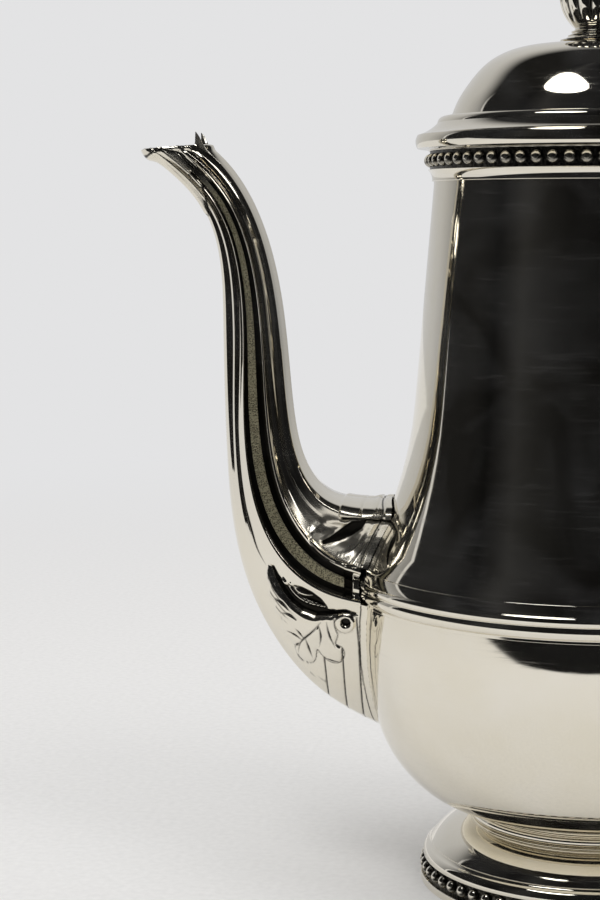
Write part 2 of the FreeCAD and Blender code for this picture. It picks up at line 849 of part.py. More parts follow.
def lid_dome():
    """Spun dome of the lid, flat under the finial."""
    outer = [
        (R.dome_foot, Z.dome_foot),
        (S.dome_side_radius, Z.dome_side),
        (S.dome_turn_radius, Z.dome_turn, "tangent"),
        (S.dome_flat_radius, Z.dome_top, "tangent"),
    ]
    low_turn = (S.dome_turn_radius - S.wall * 0.5, Z.dome_turn - S.wall)
    low_side = (S.dome_side_radius - S.wall, Z.dome_side)
    return turned("lid_dome", [
        *outer,
        (R.stud_hole, Z.dome_top),
        (R.stud_hole, Z.dome_top - S.wall),
        (S.dome_flat_radius, Z.dome_top - S.wall),
        low_turn + (bowed((S.dome_flat_radius, Z.dome_top - S.wall), low_turn, up=S.wall * 0.2),),
        low_side + ("tangent",),
        (R.dome_foot - S.wall, Z.dome_foot),
    ])


def lid_bezel():
    """Ring inside the lid that drops into the mouth and centres it."""
    return turned("lid_bezel", [
        (R.bezel - S.bezel_wall, Z.flange - S.bezel_depth),
        (R.bezel, Z.flange - S.bezel_depth),
        (R.bezel, Z.flange + S.bezel_grip),
        (R.bezel - S.bezel_wall, Z.flange + S.bezel_grip),
    ])


def finial_plate():
    """Thin disc with a rounded edge between dome and finial."""
    low = (S.finial_plate_radius - S.finial_plate_height * 0.3, Z.dome_top)
    high = (S.finial_plate_radius - S.finial_plate_height * 0.3, Z.plate_top)
    return turned("finial_plate", [
        (R.stud_hole, Z.dome_top),
        low,
        high + (bowed(low, high, out=S.finial_plate_height * 0.3),),
        (R.stud_hole, Z.plate_top),
    ])


def finial_knob():
    """Bud finial with the stud that holds it through the lid."""
    base = (S.finial_base_radius, Z.plate_top + S.finial_base_edge)
    neck = (S.finial_neck_radius, base[1] + S.finial_neck_height)
    bud = (S.finial_bud_radius, neck[1] + S.finial_bud_height)
    tip = (S.finial_tip_radius, bud[1] + S.finial_tip_height)
    return turned("finial_knob", [
        (dim(0), Z.plate_top - S.stud_length),
        (S.stud_radius, Z.plate_top - S.stud_length),
        (S.stud_radius, Z.plate_top),
        (S.finial_base_radius, Z.plate_top),
        base,
        neck + (bowed(base, neck, out=-S.finial_neck_height * 0.3),),
        bud + (bowed(neck, bud, out=S.finial_bud_height * 0.145),),
        tip + ("tangent",),
        (dim(0), tip[1]),
    ])


def finial_washer():
    """Washer under the dome."""
    top = Z.dome_top - S.wall
    return turned("finial_washer", [
        (R.stud_hole, top - S.washer_height),
        (S.washer_radius, top - S.washer_height),
        (S.washer_radius, top),
        (R.stud_hole, top),
    ])


def finial_nut():
    """Hexagon nut on the finial's stud."""
    body = new_body("finial_nut")
    sketch = body.newObject("Sketcher::SketchObject", "nut_outline")
    sketch.AttachmentSupport = (origin_plane(body, "XY_Plane"), [""])
    sketch.MapMode = "FlatFace"
    corner_radius = S.nut_across_flats / math.sqrt(3)
    points = []
    for index in range(6):
        angle = math.radians(60 * index)
        points.append((corner_radius * math.cos(angle), corner_radius * math.sin(angle)))
    sides = []
    for index in range(6):
        line = Part.LineSegment(vector(points[index]), vector(points[(index + 1) % 6]))
        sides.append(sketch.addGeometry(line, False))
    for index, side in enumerate(sides):
        sketch.addConstraint(Sketcher.Constraint("Coincident", sides[index - 1], 2, side, 1))
        place_point(sketch, side, 1, points[index])
    hole = sketch.addGeometry(Part.Circle(Vector(), Vector(0, 0, 1), S.stud_radius.value), False)
    sketch.addConstraint(Sketcher.Constraint("Coincident", hole, 3, -1, 1))
    index = sketch.addConstraint(Sketcher.Constraint("Radius", hole, S.stud_radius.value))
    sketch.setExpression("Constraints[%d]" % index, S.stud_radius.text)
    pad = body.newObject("PartDesign::Pad", "nut_height_pad")
    pad.Profile = sketch
    pad.setExpression("Length", S.nut_height.text)
    place(body, dim(0), Z.dome_top - S.wall - S.washer_height - S.nut_height)
    doc.recompute()
    return body


# Lid hinge
def hinge_notch():
    """The flat cut in the lid's edge that the hinge leaf is soldered to."""
    inner = R.flange - S.flange_under_depth - S.hinge_notch
    return block("hinge_notch",
                 (inner, -S.hinge_half_width, Z.flange - S.wall),
                 (R.hinge, S.hinge_half_width, Z.flange_cove))


def hinge_body_leaf():
    """Two knuckles on a block that is soldered into the gap of the rim's bead border."""
    far = R.hinge + S.knuckle_radius
    near = R.hinge - S.knuckle_radius
    block_top = Z.hinge - S.knuckle_radius - S.knuckle_gap
    inner_edge = S.hinge_middle_half + S.knuckle_gap
    base = block("hinge_block",
                 (R.mouth_inner, -S.hinge_half_width, Z.rim_seat + S.hinge_side_gap),
                 (far, S.hinge_half_width, block_top))
    pieces = [base]
    knuckles = (("near", -S.hinge_half_width, -inner_edge), ("far", inner_edge, S.hinge_half_width))
    for side, start, end in knuckles:
        pieces.append(block("hinge_cheek_" + side, (near, start, block_top), (far, end, Z.hinge)))
        pieces.append(rod("hinge_knuckle_" + side, S.knuckle_radius, start, end, R.hinge, Z.hinge))
    solid = joined("hinge_body_solid", *pieces)
    seat = doc.addObject("Part::Cylinder", "hinge_seat")
    seat.setExpression("Radius", R.rim_seat.text)
    seat.setExpression("Height", Z.hinge.text)
    bore = rod("hinge_body_bore", S.hinge_pin_radius, -S.hinge_half_width * 2, S.hinge_half_width * 2,
               R.hinge, Z.hinge)
    return cut("hinge_body_leaf", solid, seat, bore)


def hinge_lid_leaf():
    """Middle knuckle on an arm and a plate that fills the notch in the lid's edge."""
    inner = R.flange - S.flange_under_depth - S.hinge_notch
    plate = block("hinge_plate",
                  (inner, S.hinge_side_gap - S.hinge_half_width, Z.flange),
                  (R.flange, S.hinge_half_width - S.hinge_side_gap, Z.flange_roll))
    arm = block("hinge_arm",
                (inner, -S.hinge_middle_half, Z.hinge),
                (R.hinge, S.hinge_middle_half, Z.hinge + S.knuckle_radius))
    knuckle = rod("hinge_knuckle_middle", S.knuckle_radius, -S.hinge_middle_half, S.hinge_middle_half,
                  R.hinge, Z.hinge)
    solid = joined("hinge_lid_solid", plate, arm, knuckle)
    bore = rod("hinge_lid_bore", R.pin_hole, -S.hinge_half_width, S.hinge_half_width, R.hinge, Z.hinge)
    return cut("hinge_lid_leaf", solid, bore)


def hinge_pin():
    """Hinge pin with its two riveted ends."""
    length = S.hinge_half_width
    shank = rod("hinge_shank", S.hinge_pin_radius, -length, length, R.hinge, Z.hinge)
    head = S.hinge_pin_radius * 1.6
    near = rod("hinge_head_near", head, -length - S.hinge_pin_head, -length, R.hinge, Z.hinge)
    far = rod("hinge_head_far", head, length, length + S.hinge_pin_head, R.hinge, Z.hinge)
    return joined("hinge_pin", shank, near, far)


# Handle
def socket_end(end):
    """The x at which a handle socket ends and its insulator starts."""
    wall = S.neck_radius if end == "upper" else bowl_radius(Z.handle_lower)
    return wall + S.socket_length


def handle_height(end):
    """The height of the handle's upper or lower end."""
    return Z.handle_upper if end == "upper" else Z.handle_lower


def handle_socket(end, core):
    """Flared socket soldered on the body, bored for the handle's spigot and its cross pin."""
    label = "handle_%s_socket" % end
    far = socket_end(end)
    root = (S.socket_root_radius, dim(0))
    tip = (S.socket_end_radius, far)
    body = turned(label + "_turning", [
        (dim(0), dim(0)),
        root,
        (S.socket_root_radius, far - S.socket_length),
        tip + (bowed((S.socket_root_radius, far - S.socket_length), tip, out=-S.wall * 0.6),),
        (dim(0), far),
    ])
    place(body, dim(0), handle_height(end), turn_axis_to_x())
    bore_end = far - S.spigot_length - S.spigot_end_gap + S.insulator_thickness
    bore = spindle(label + "_bore", S.spigot_radius, bore_end, far + S.wall, handle_height(end))
    return cut(label, body, core, bore, pin_hole(label, end))


def pin_place(end):
    """The x of a handle's cross pin."""
    return socket_end(end) - (S.spigot_length - S.insulator_thickness) / 2


def pin_hole(label, end):
    """The cross hole for a handle's pin."""
    reach = S.socket_root_radius * 2
    return rod(label + "_pin_hole", S.cross_pin_radius, -reach, reach, pin_place(end), handle_height(end))


def handle_insulator(end):
    """Insulating ring with a rounded edge, between socket and handle."""
    label = "handle_%s_insulator" % end
    low = (S.insulator_radius - S.insulator_thickness * 0.2, dim(0))
    high = (S.insulator_radius - S.insulator_thickness * 0.2, S.insulator_thickness)
    body = turned(label, [
        (S.spigot_radius, dim(0)),
        low,
        high + (bowed(low, high, out=S.insulator_thickness * 0.2),),
        (S.spigot_radius, S.insulator_thickness),
    ])
    place(body, socket_end(end), handle_height(end), turn_axis_to_x())
    return body


def handle_pin(end):
    """Cross pin through socket and spigot."""
    reach = S.socket_end_radius + S.wall * 0.4
    item = rod("handle_%s_pin" % end, S.cross_pin_radius, -reach, reach, pin_place(end), handle_height(end))
    item.Label = "handle_%s_pin" % end
    return item


def handle_path():
    """The middle line of the handle, from the upper insulator to the lower one."""
    upper = Vector((socket_end("upper") + S.insulator_thickness).value, 0, Z.handle_upper.value)
    lower = Vector((socket_end("lower") + S.insulator_thickness).value, 0, Z.handle_lower.value)
    reach = S.belt_wall_radius.value + S.handle_reach.value
    drop = upper.z - lower.z
    rise = S.handle_rise.value
    poles = [
        upper,
        upper + Vector(8, 0, 0),
        upper + Vector(20, 0, rise * 1.5),
        Vector(reach, 0, upper.z + rise * 1.3),
        Vector(reach + rise * 0.6, 0, upper.z - drop * 0.32),
        Vector(reach - rise, 0, upper.z - drop * 0.68),
        Vector(mixed(0.45, reach, lower.x), 0, lower.z + drop * 0.1),
        lower + Vector(12, 0, 0),
        lower,
    ]
    curve = Part.BSplineCurve()
    curve.buildFromPoles(poles, False, 3)
    return curve


def handle_section(curve, step):
    """Oval of four arcs across the handle's middle line, at a share of its length."""
    at = curve.parameterAtDistance(curve.length() * step) if 0 < step < 1 else (
        curve.FirstParameter if step <= 0 else curve.LastParameter)
    centre = curve.value(at)
    along = curve.tangent(at)[0]
    if step in (0, 1):
        along = Vector(1, 0, 0) if step == 0 else Vector(-1, 0, 0)
    out = Vector(along.z, 0, -along.x)
    swell = S.handle_waist.value + (1 - S.handle_waist.value) * math.cos(2 * math.pi * step) ** 2
    thick = S.handle_thickness.value / 2 * swell
    width = S.handle_width.value / 2 * swell

    def spot(across, side):
        return centre + out * (across * thick) + Vector(0, side * width, 0)

    corners = [spot(0.62, 0.78), spot(0.62, -0.78), spot(-0.62, -0.78), spot(-0.62, 0.78)]
    middles = [spot(1, 0), spot(0, -1), spot(-1, 0), spot(0, 1)]
    edges = []
    for index, middle in enumerate(middles):
        edges.append(Part.Arc(corners[index], middle, corners[(index + 1) % 4]).toShape())
    return Part.Wire(edges)


def handle_grip():
    """Handle with an oval section and a spigot at each end, cross-drilled for the pins."""
    curve = handle_path()
    count = 20
    loft = doc.addObject("Part::Feature", "handle_loft")
    sections = [handle_section(curve, index / count) for index in range(count + 1)]
    loft.Shape = Part.makeLoft(sections, True, False)
    pieces = [loft]
    holes = []
    for end in ("upper", "lower"):
        far = socket_end(end) + S.insulator_thickness
        pieces.append(spindle("spigot_" + end, S.spigot_radius, far - S.spigot_length, far + S.wall,
                              handle_height(end)))
        holes.append(pin_hole("spigot_" + end, end))
    return cut("handle_grip", joined("handle_solid", *pieces), *holes)


def build():
    """Every sub-part of the pot, in the order in which it is put together."""
    core = body_core()
    parts = [
        foot_ring(),
        bead_border("foot_bead_border", R.foot_seat, Z.foot_seat, Z.foot_lip, S.foot_bead_count, dim(0)),
        foot_dome(),
        foot_collar(),
        lower_bowl(),
        belt_moulding(),
        upper_body(),
        mouth_ring(),
        bead_border("rim_bead_border", R.rim_seat, Z.rim_seat, Z.rim_lip,
                    S.rim_bead_count, S.rim_beads_left_out),
        spout_half("spout_near_half", -1, core),
        spout_half("spout_far_half", 1, core),
        hinge_body_leaf(),
        hinge_pin(),
        lid_flange(hinge_notch()),
        lid_dome(),
        lid_bezel(),
        hinge_lid_leaf(),
        finial_plate(),
        finial_knob(),
        finial_washer(),
        finial_nut(),
    ]
    for end in ("upper", "lower"):
        parts.append(handle_socket(end, core))
        parts.append(handle_insulator(end))
        parts.append(handle_pin(end))
    parts.append(handle_grip())
    return parts


def main():
    """Build, check and write every sub-part."""
    parts = build()
    doc.recompute()
    for item in doc.Objects:
        if "Invalid" in item.State or "Error" in item.State:
            raise RuntimeError("%s failed: %s" % (item.Label, item.State))
    os.makedirs("parts", exist_ok=True)
    for item in parts:
        shape = item.Shape
        if shape.isNull() or not shape.isValid():
            raise RuntimeError(item.Label + " has no valid shape")
        print("%-26s solids %d volume %.1f" % (item.Label, len(shape.Solids), shape.Volume))
    for item in parts:
        item.Shape.exportStep("parts/%s.step" % item.Label)


main()
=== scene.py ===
import math

import bmesh
import bpy
import numpy as np
from bpy.props import FloatProperty, FloatVectorProperty, IntProperty, PointerProperty
from mathutils import Matrix, Vector


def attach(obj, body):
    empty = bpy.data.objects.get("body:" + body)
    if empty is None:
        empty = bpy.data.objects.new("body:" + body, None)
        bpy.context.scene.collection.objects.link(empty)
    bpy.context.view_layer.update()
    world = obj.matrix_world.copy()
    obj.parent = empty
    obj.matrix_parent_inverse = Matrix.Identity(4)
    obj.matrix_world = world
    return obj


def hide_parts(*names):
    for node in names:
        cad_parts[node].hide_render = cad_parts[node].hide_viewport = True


bl_info = {
    "name": "Silver coffee pot",
    "version": (1, 0, 0),
    "blender": (4, 5, 0),
    "location": "View3D > Sidebar > Coffee pot",
    "description": "Turns, casts and polishes the pieces of a silver coffee pot on its packed solids",
    "category": "Object",
}

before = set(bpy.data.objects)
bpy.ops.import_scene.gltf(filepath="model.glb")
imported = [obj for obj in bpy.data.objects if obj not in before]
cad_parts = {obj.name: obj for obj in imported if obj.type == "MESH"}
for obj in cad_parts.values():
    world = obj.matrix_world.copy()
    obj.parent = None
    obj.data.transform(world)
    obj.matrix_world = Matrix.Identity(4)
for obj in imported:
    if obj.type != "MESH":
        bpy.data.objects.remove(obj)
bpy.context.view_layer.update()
MM = 0.001


# Colours and nodes
def linear(hex_colour):
    """An sRGB hex colour as linear RGBA."""
    channels = [int(hex_colour[place:place + 2], 16) / 255 for place in (1, 3, 5)]
    return tuple(c / 12.92 if c <= 0.04045 else ((c + 0.055) / 1.055) ** 2.4 for c in channels) + (1.0,)


def add_node(tree, kind, settings=None, values=None, links=None):
    """Add a node, set its properties and sockets, and link other nodes' outputs into it."""
    node = tree.nodes.new("ShaderNode" + kind)
    for name, value in (settings or {}).items():
        setattr(node, name, value)
    for socket, value in (values or {}).items():
        node.inputs[socket].default_value = value
    for socket, output in (links or {}).items():
        tree.links.new(output, node.inputs[socket])
    return node


def maths(tree, operation, *operands, clamp=False):
    """A maths node's output, from numbers and other nodes' outputs."""
    values = {place: item for place, item in enumerate(operands) if isinstance(item, float)}
    links = {place: item for place, item in enumerate(operands) if not isinstance(item, float)}
    return add_node(tree, "Math", {"operation": operation, "use_clamp": clamp}, values, links).outputs[0]


def ramp(tree, factor, stops):
    """A colour ramp's output; each stop is a position and a grey or RGBA."""
    node = add_node(tree, "ValToRGB", links={"Fac": factor})
    elements = node.color_ramp.elements
    while len(elements) < len(stops):
        elements.new(0.5)
    for element, (position, colour) in zip(elements, stops):
        element.position = position
        element.color = colour if isinstance(colour, tuple) else (colour, colour, colour, 1.0)
    return node.outputs["Color"]


def soft_range(tree, value, low, high):
    """A node's soft step from 0 at low to 1 at high."""
    node = add_node(tree, "MapRange", {"interpolation_type": "SMOOTHSTEP"},
                    values={"From Min": low, "From Max": high}, links={"Value": value})
    return node.outputs["Result"]


def object_coords(tree):
    """Places on a piece, in metres."""
    return add_node(tree, "TexCoord").outputs["Object"]


def noise(tree, vector, scale, **values):
    """A noise texture's factor."""
    node = add_node(tree, "TexNoise", values={"Scale": scale, **values}, links={"Vector": vector})
    return node.outputs["Fac"]


def blend(tree, share, first, second):
    """A colour mix's output, from colours and other nodes' outputs."""
    node = add_node(tree, "Mix", {"data_type": "RGBA"}, links={0: share})
    for socket, colour in ((6, first), (7, second)):
        if isinstance(colour, bpy.types.NodeSocket):
            tree.links.new(colour, node.inputs[socket])
        else:
            node.inputs[socket].default_value = colour
    return node.outputs[2]


def new_material(name):
    """A material, its node tree and its shader."""
    material = bpy.data.materials.new(name)
    material.use_nodes = True
    return material, material.node_tree, material.node_tree.nodes["Principled BSDF"]


# What a user may change
class PotFinish(bpy.types.PropertyGroup):
    """Colours and polish of the silver and of the insulating rings."""

    silver: FloatVectorProperty(
        name="Silver", description="Colour of the polished silver plate", subtype="COLOR", size=4,
        min=0, max=1, default=linear("#ece7db"))
    tarnish: FloatVectorProperty(
        name="Tarnish", description="Warm veil where the polish is thin", subtype="COLOR", size=4,
        min=0, max=1, default=linear("#e6dfcd"))
    # colour of the dark oxide in the recesses, and also of the painted shade on the beads
    oxide_and_shade_colour: FloatVectorProperty(
        name="Oxide", description="Dark silver sulphide left in the recesses", subtype="COLOR", size=4,
        min=0, max=1, default=linear("#1d1b17"))
    ground: FloatVectorProperty(
        name="Punched ground", description="Dull silver of the punched band", subtype="COLOR", size=4,
        min=0, max=1, default=linear("#bcb597"))
    ivory: FloatVectorProperty(
        name="Ivory", description="Colour of the insulating rings", subtype="COLOR", size=4,
        min=0, max=1, default=linear("#e3d6b8"))
    polish: FloatProperty(
        name="Polish", description="Roughness of the polished silver", min=0.01, max=0.5, default=0.035)
    scratch_spacing: FloatProperty(
        name="Scratch spacing", description="Distance between the hairlines of years of rubbing",
        subtype="DISTANCE", unit="LENGTH", default=0.7 * MM)


class PotShape(bpy.types.PropertyGroup):
    """Fineness of the turned and cast pieces."""

    sides: IntProperty(
        name="Turning steps", description="Steps of a full turn of the lathe", min=48, max=512, default=224)
    relief: FloatProperty(
        name="Chasing depth", description="Depth of the chased leaves on the spout", subtype="DISTANCE",
        unit="LENGTH", default=1.0 * MM)
    bead_radius: FloatProperty(
        name="Bead radius", description="Radius of a bead in the foot and rim borders", subtype="DISTANCE",
        unit="LENGTH", default=1.7 * MM)
    foot_beads: IntProperty(name="Foot beads", description="Beads round the foot", default=62)
    rim_beads: IntProperty(name="Rim beads", description="Bead places round the mouth", default=66)
    bud_flutes: IntProperty(name="Bud flutes", description="Hollow flutes round the finial's bud", default=16)
    beads_left_out: IntProperty(name="Hinge gap", description="Bead places left free for the hinge", default=3)


class PotStage(bpy.types.PropertyGroup):
    """Floor, backdrop and lamps."""

    pale: FloatVectorProperty(
        name="Backdrop", description="Colour of the paper backdrop", subtype="COLOR", size=4,
        min=0, max=1, default=linear("#e3e3e4"))
    key: FloatProperty(name="Key lamp", description="Power of the large soft box", unit="POWER", default=2.5)


# Materials
SCRATCH_STRETCH = 0.05  # distance between scratches over their length
VEIL_WIDTH = 30 * MM
CLOUD_WIDTH = 25 * MM
OXIDE_GRAIN = 0.7 * MM
PUNCH_SPACING = 0.38 * MM


def hairlines(tree, coords, spacing, turn, low):
    """Sparse fine scratches in one direction, as a mask from 0 to 1."""
    along = SCRATCH_STRETCH / spacing
    stretch = add_node(tree, "Mapping", values={"Rotation": turn, "Scale": (along, along, 1.0 / spacing)},
                       links={"Vector": coords})
    marks = noise(tree, stretch.outputs["Vector"], 1.0, Detail=2.0, Distortion=1.2)
    return ramp(tree, marks, [(low, 0.0), (low + 0.16, 1.0)])


def rubbed_haze(tree, coords, lines):
    """Rubbed clouds where the hairlines catch a little light from everywhere."""
    cloud = noise(tree, coords, 1 / CLOUD_WIDTH, Detail=3.0, Distortion=0.8)
    mask = add_node(tree, "MapRange", values={"From Min": 0.42, "From Max": 0.72}, links={"Value": cloud})
    wisps = maths(tree, "MULTIPLY_ADD", lines, 0.65, 0.45)
    return maths(tree, "MULTIPLY", wisps, mask.outputs["Result"], clamp=True)


def oxidised_and_shaded(tree, finish, coords, colour, roughness, normal):
    """The finish of a chased piece over plain silver, from the attributes stored on it.

    The stored darkness shows where the buff never reached the dark oxide, and on the beads it is painted shade as
    well; stipple shows where the metal is punched matt, and satin where it is only brushed.
    """
    oxide_and_painted_shade, punched, brushed = [add_node(tree, "Attribute", {"attribute_name": name}).outputs["Fac"]
                                for name in ("oxide_and_painted_shade", "stipple", "satin")]
    uneven = maths(tree, "MULTIPLY_ADD", noise(tree, coords, 1 / OXIDE_GRAIN, Detail=4.0), 0.24, -0.12)
    # dark oxide in the recesses, and painted shade on the beads, both in the oxide colour
    dark = ramp(tree, maths(tree, "ADD", oxide_and_painted_shade, uneven, clamp=True), [(0.22, 0.0), (0.75, 1.0)])
    colour = blend(tree, dark, colour, finish.oxide_and_shade_colour)
    marks = add_node(tree, "TexVoronoi", values={"Scale": 1 / PUNCH_SPACING, "Randomness": 0.6},
                     links={"Vector": coords}).outputs["Distance"]
    pits = ramp(tree, marks, [(0.18, finish.oxide_and_shade_colour[:]), (0.62, finish.ground[:])])
    colour = blend(tree, punched, colour, pits)
    for mask, rougher in ((dark, 0.30), (punched, 0.40), (brushed, 0.22)):
        roughness = maths(tree, "MULTIPLY_ADD", mask, rougher, roughness)
    stipple = add_node(tree, "Bump", values={"Strength": 0.9, "Distance": 0.16 * MM},
                       links={"Height": maths(tree, "MULTIPLY", marks, punched), "Normal": normal})
    return colour, roughness, stipple.outputs["Normal"]


def polished_silver(name, finish, chased=False):
    """Silver plate on brass, spun or cast and then buffed: a warm mirror with hairlines and a faint veil."""
    material, tree, shader = new_material(name)
    shader.inputs["Metallic"].default_value = 1.0
    shader.inputs["Coat Roughness"].default_value = 0.6
    coords = object_coords(tree)
    lines = maths(tree, "MAXIMUM", hairlines(tree, coords, finish.scratch_spacing, (0.6, 0.3, 0.4), 0.58),
                      hairlines(tree, coords, finish.scratch_spacing * 1.4, (-0.9, 0.7, 1.3), 0.60))
    drift = noise(tree, coords, 1 / VEIL_WIDTH, Detail=8.0, Roughness=0.62)
    veil = ramp(tree, drift, [(0.35, 0.0), (0.80, 1.0)])
    colour = blend(tree, veil, finish.silver, finish.tarnish)
    roughness = maths(tree, "MULTIPLY_ADD", veil, 0.04, finish.polish)
    roughness = maths(tree, "MULTIPLY_ADD", lines, 0.07, roughness)
    normal = add_node(tree, "Bump", values={"Strength": 0.05, "Distance": 0.01 * MM},
                      links={"Height": lines}).outputs["Normal"]
    if chased:
        colour, roughness, normal = oxidised_and_shaded(tree, finish, coords, colour, roughness, normal)
    sockets = {"Base Color": colour, "Roughness": roughness, "Normal": normal,
               "Coat Weight": rubbed_haze(tree, coords, lines)}
    for socket, output in sockets.items():
        tree.links.new(output, shader.inputs[socket])
    return material


def ivory_fibre(name, finish):
    """Bone-coloured insulating fibre, turned and rubbed: satin, with fine growth lines along it."""
    material, tree, shader = new_material(name)
    shader.inputs["Roughness"].default_value = 0.38
    shader.inputs["Subsurface Weight"].default_value = 0.1
    shader.inputs["Subsurface Radius"].default_value = (2.0 * MM, 1.4 * MM, 0.8 * MM)
    coords = object_coords(tree)
    # growth lines about 0.5 mm apart along the ring's axis
    stretch = add_node(tree, "Mapping", values={"Scale": (150, 2000, 2000)}, links={"Vector": coords})
    growth = noise(tree, stretch.outputs["Vector"], 1.0, Detail=4.0)
    ivory = tuple(finish.ivory)
    shadow = tuple(c * 0.72 for c in ivory[:3]) + (1.0,)
    tree.links.new(ramp(tree, growth, [(0.30, shadow), (0.65, ivory)]), shader.inputs["Base Color"])
    bump = add_node(tree, "Bump", values={"Strength": 0.15, "Distance": 0.03 * MM},
                    links={"Height": growth})
    tree.links.new(bump.outputs["Normal"], shader.inputs["Normal"])
    return material


def shared_material(name, maker, **options):
    """A material that several pieces share, made the first time it is asked for."""
    return bpy.data.materials.get(name) or maker(name, bpy.context.scene.pot_finish, **options)


def plain_silver():
    return shared_material("polished_silver_plate", polished_silver)


def chased_silver():
    # the chased finish: oxide in the recesses, and painted shade on the beads
    return shared_material("oxidised_and_shaded_cast_silver", polished_silver, chased=True)


# Turning
ARC_STEP = math.radians(4)
SHARP_ANGLE = 35  # degrees
WORN_ANGLE = 40
WORN_WIDTH = 0.12 * MM


def circle_centre(start, via, end):
    """The centre of the circle of the XZ plane through three points."""
    a, b, c = [Vector((point.x, point.z)) for point in (start, via, end)]
    d = 2 * (a.x * (b.y - c.y) + b.x * (c.y - a.y) + c.x * (a.y - b.y))
    x = (a.length_squared * (b.y - c.y) + b.length_squared * (c.y - a.y) + c.length_squared * (a.y - b.y)) / d
    z = (a.length_squared * (c.x - b.x) + b.length_squared * (a.x - c.x) + c.length_squared * (b.x - a.x)) / d
    return Vector((x, 0, z))


def swing(start, end, centre):
    """The turn about +Y that takes start to end round a centre."""
    a = start - centre
    b = end - centre
    return math.atan2(a.z * b.x - a.x * b.z, a.dot(b))


def trace(bm, corners, closed=True):
    """A chain of edges through corners in mm: (r, z), or (r, z, via r, via z) where an arc arrives.

    "smooth" as a third entry carries on along the edge before, as the next arc of a curve.
    """
    first = bm.verts.new((corners[0][0] * MM, 0, corners[0][1] * MM))
    chain = [first]
    heading = None
    for corner in corners[1:]:
        tip = chain[-1]
        end = Vector((corner[0] * MM, 0, corner[1] * MM))
        if len(corner) == 2:
            grown = bmesh.ops.extrude_vert_indiv(bm, verts=[tip])["verts"][0]
            grown.co = end
            heading = (end - tip.co).normalized()
            chain.append(grown)
            continue
        if corner[2] == "smooth":
            side = Vector((-heading.z, 0, heading.x))
            chord = end - tip.co
            centre = tip.co + side * (chord.length_squared / (2 * side.dot(chord)))
            turn = swing(tip.co, end, centre)
            if (Matrix.Rotation(0.01 * math.copysign(1, turn), 3, "Y") @ (tip.co - centre)
                    - (tip.co - centre)).dot(heading) < 0:
                turn -= math.copysign(2 * math.pi, turn)
        else:
            via = Vector((corner[2] * MM, 0, corner[3] * MM))
            centre = circle_centre(tip.co, via, end)
            turn = swing(tip.co, end, centre)
            if swing(tip.co, via, centre) * turn < 0:
                turn -= math.copysign(2 * math.pi, turn)
        steps = max(3, math.ceil(abs(turn) / ARC_STEP))
        before = set(bm.verts)
        bmesh.ops.spin(bm, geom=[tip], cent=centre, axis=(0, 1, 0), angle=turn, steps=steps)
        arc = [vert for vert in bm.verts if vert not in before]
        arc.sort(key=lambda vert: abs(swing(tip.co, vert.co, centre)))
        arc[-1].co = end
        chain.extend(arc)
        quarter = Matrix.Rotation(math.copysign(math.pi / 2, turn), 3, "Y")
        heading = (quarter @ (end - centre)).normalized()
    if closed:
        bm.edges.new((chain[-1], first))
    return chain


def finish_piece(name, bm, material, body, node, sharp=SHARP_ANGLE):
    """Turn a bmesh into a finished piece that rides on a body and stands for a CAD node."""
    mesh = bpy.data.meshes.new(name)
    bm.to_mesh(mesh)
    bm.free()
    mesh.materials.append(material)
    mesh.shade_smooth()
    mesh.set_sharp_from_angle(angle=math.radians(sharp))
    piece = bpy.data.objects.new(name, mesh)
    bpy.context.collection.objects.link(piece)
    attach(piece, body)
    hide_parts(node)
    return piece


def lathe(corners, sides):
    """A closed turned form from an outline in mm."""
    bm = bmesh.new()
    trace(bm, corners)
    bmesh.ops.spin(bm, geom=bm.verts[:] + bm.edges[:], cent=(0, 0, 0), axis=(0, 0, 1), angle=2 * math.pi,
                   steps=sides, use_merge=True)
    bmesh.ops.remove_doubles(bm, verts=bm.verts, dist=0.001 * MM)
    bmesh.ops.dissolve_degenerate(bm, edges=bm.edges, dist=0.0005 * MM)
    bmesh.ops.recalc_face_normals(bm, faces=bm.faces)
    return bm


def turned(name, corners, node, body="pot", material=None):
    """A turned piece of silver, with its edges worn a little."""
    bm = lathe(corners, bpy.context.scene.pot_shape.sides)
    piece = finish_piece(name, bm, material or plain_silver(), body, node)
    edges = piece.modifiers.new("worn edges", "BEVEL")
    edges.width = WORN_WIDTH
    edges.segments = 2
    edges.limit_method = "ANGLE"
    edges.angle_limit = math.radians(WORN_ANGLE)
    return piece


def cut_away(piece, cutters):
    """Cut the solids of a bmesh away from a piece."""
    mesh = bpy.data.meshes.new("cutters")
    cutters.to_mesh(mesh)
    cutters.free()
    cutter = bpy.data.objects.new("cutters", mesh)
    bpy.context.collection.objects.link(cutter)
    saw = piece.modifiers.new("saw", "BOOLEAN")
    saw.operation = "DIFFERENCE"
    saw.object = cutter
    bpy.context.view_layer.update()
    with bpy.context.temp_override(object=piece, active_object=piece):
        bpy.ops.object.modifier_move_to_index(modifier="saw", index=0)
        bpy.ops.object.modifier_apply(modifier="saw")
    bpy.data.objects.remove(cutter)
    bpy.data.meshes.remove(mesh)
    piece.data.shade_smooth()
    piece.data.set_sharp_from_angle(angle=math.radians(SHARP_ANGLE))


BOWL_OUTSIDE = [(58.1, 74.1), (54.2, 42.0, 57.65, 58.05), (42.9, 25.7, "smooth"), (30.0, 21.7, "smooth")]
WALL_OUTSIDE = [(40.7, 180.0), (45.1, 125.2), (58.1, 83.2, "smooth")]
BELT_LOW, BELT_HIGH, BELT_RADIUS = 74.1, 83.2, 59.9
# Strainer holes behind the spout: heights, places across, and the middle and length of their drill
HOLE_HEIGHTS = (51.6, 57.0, 62.4, 67.8)
HOLE_PLACES = (-5.4, 0, 5.4)
HOLE_RADIUS, DRILL_X, DRILL_LENGTH = 1.6, -54, 16


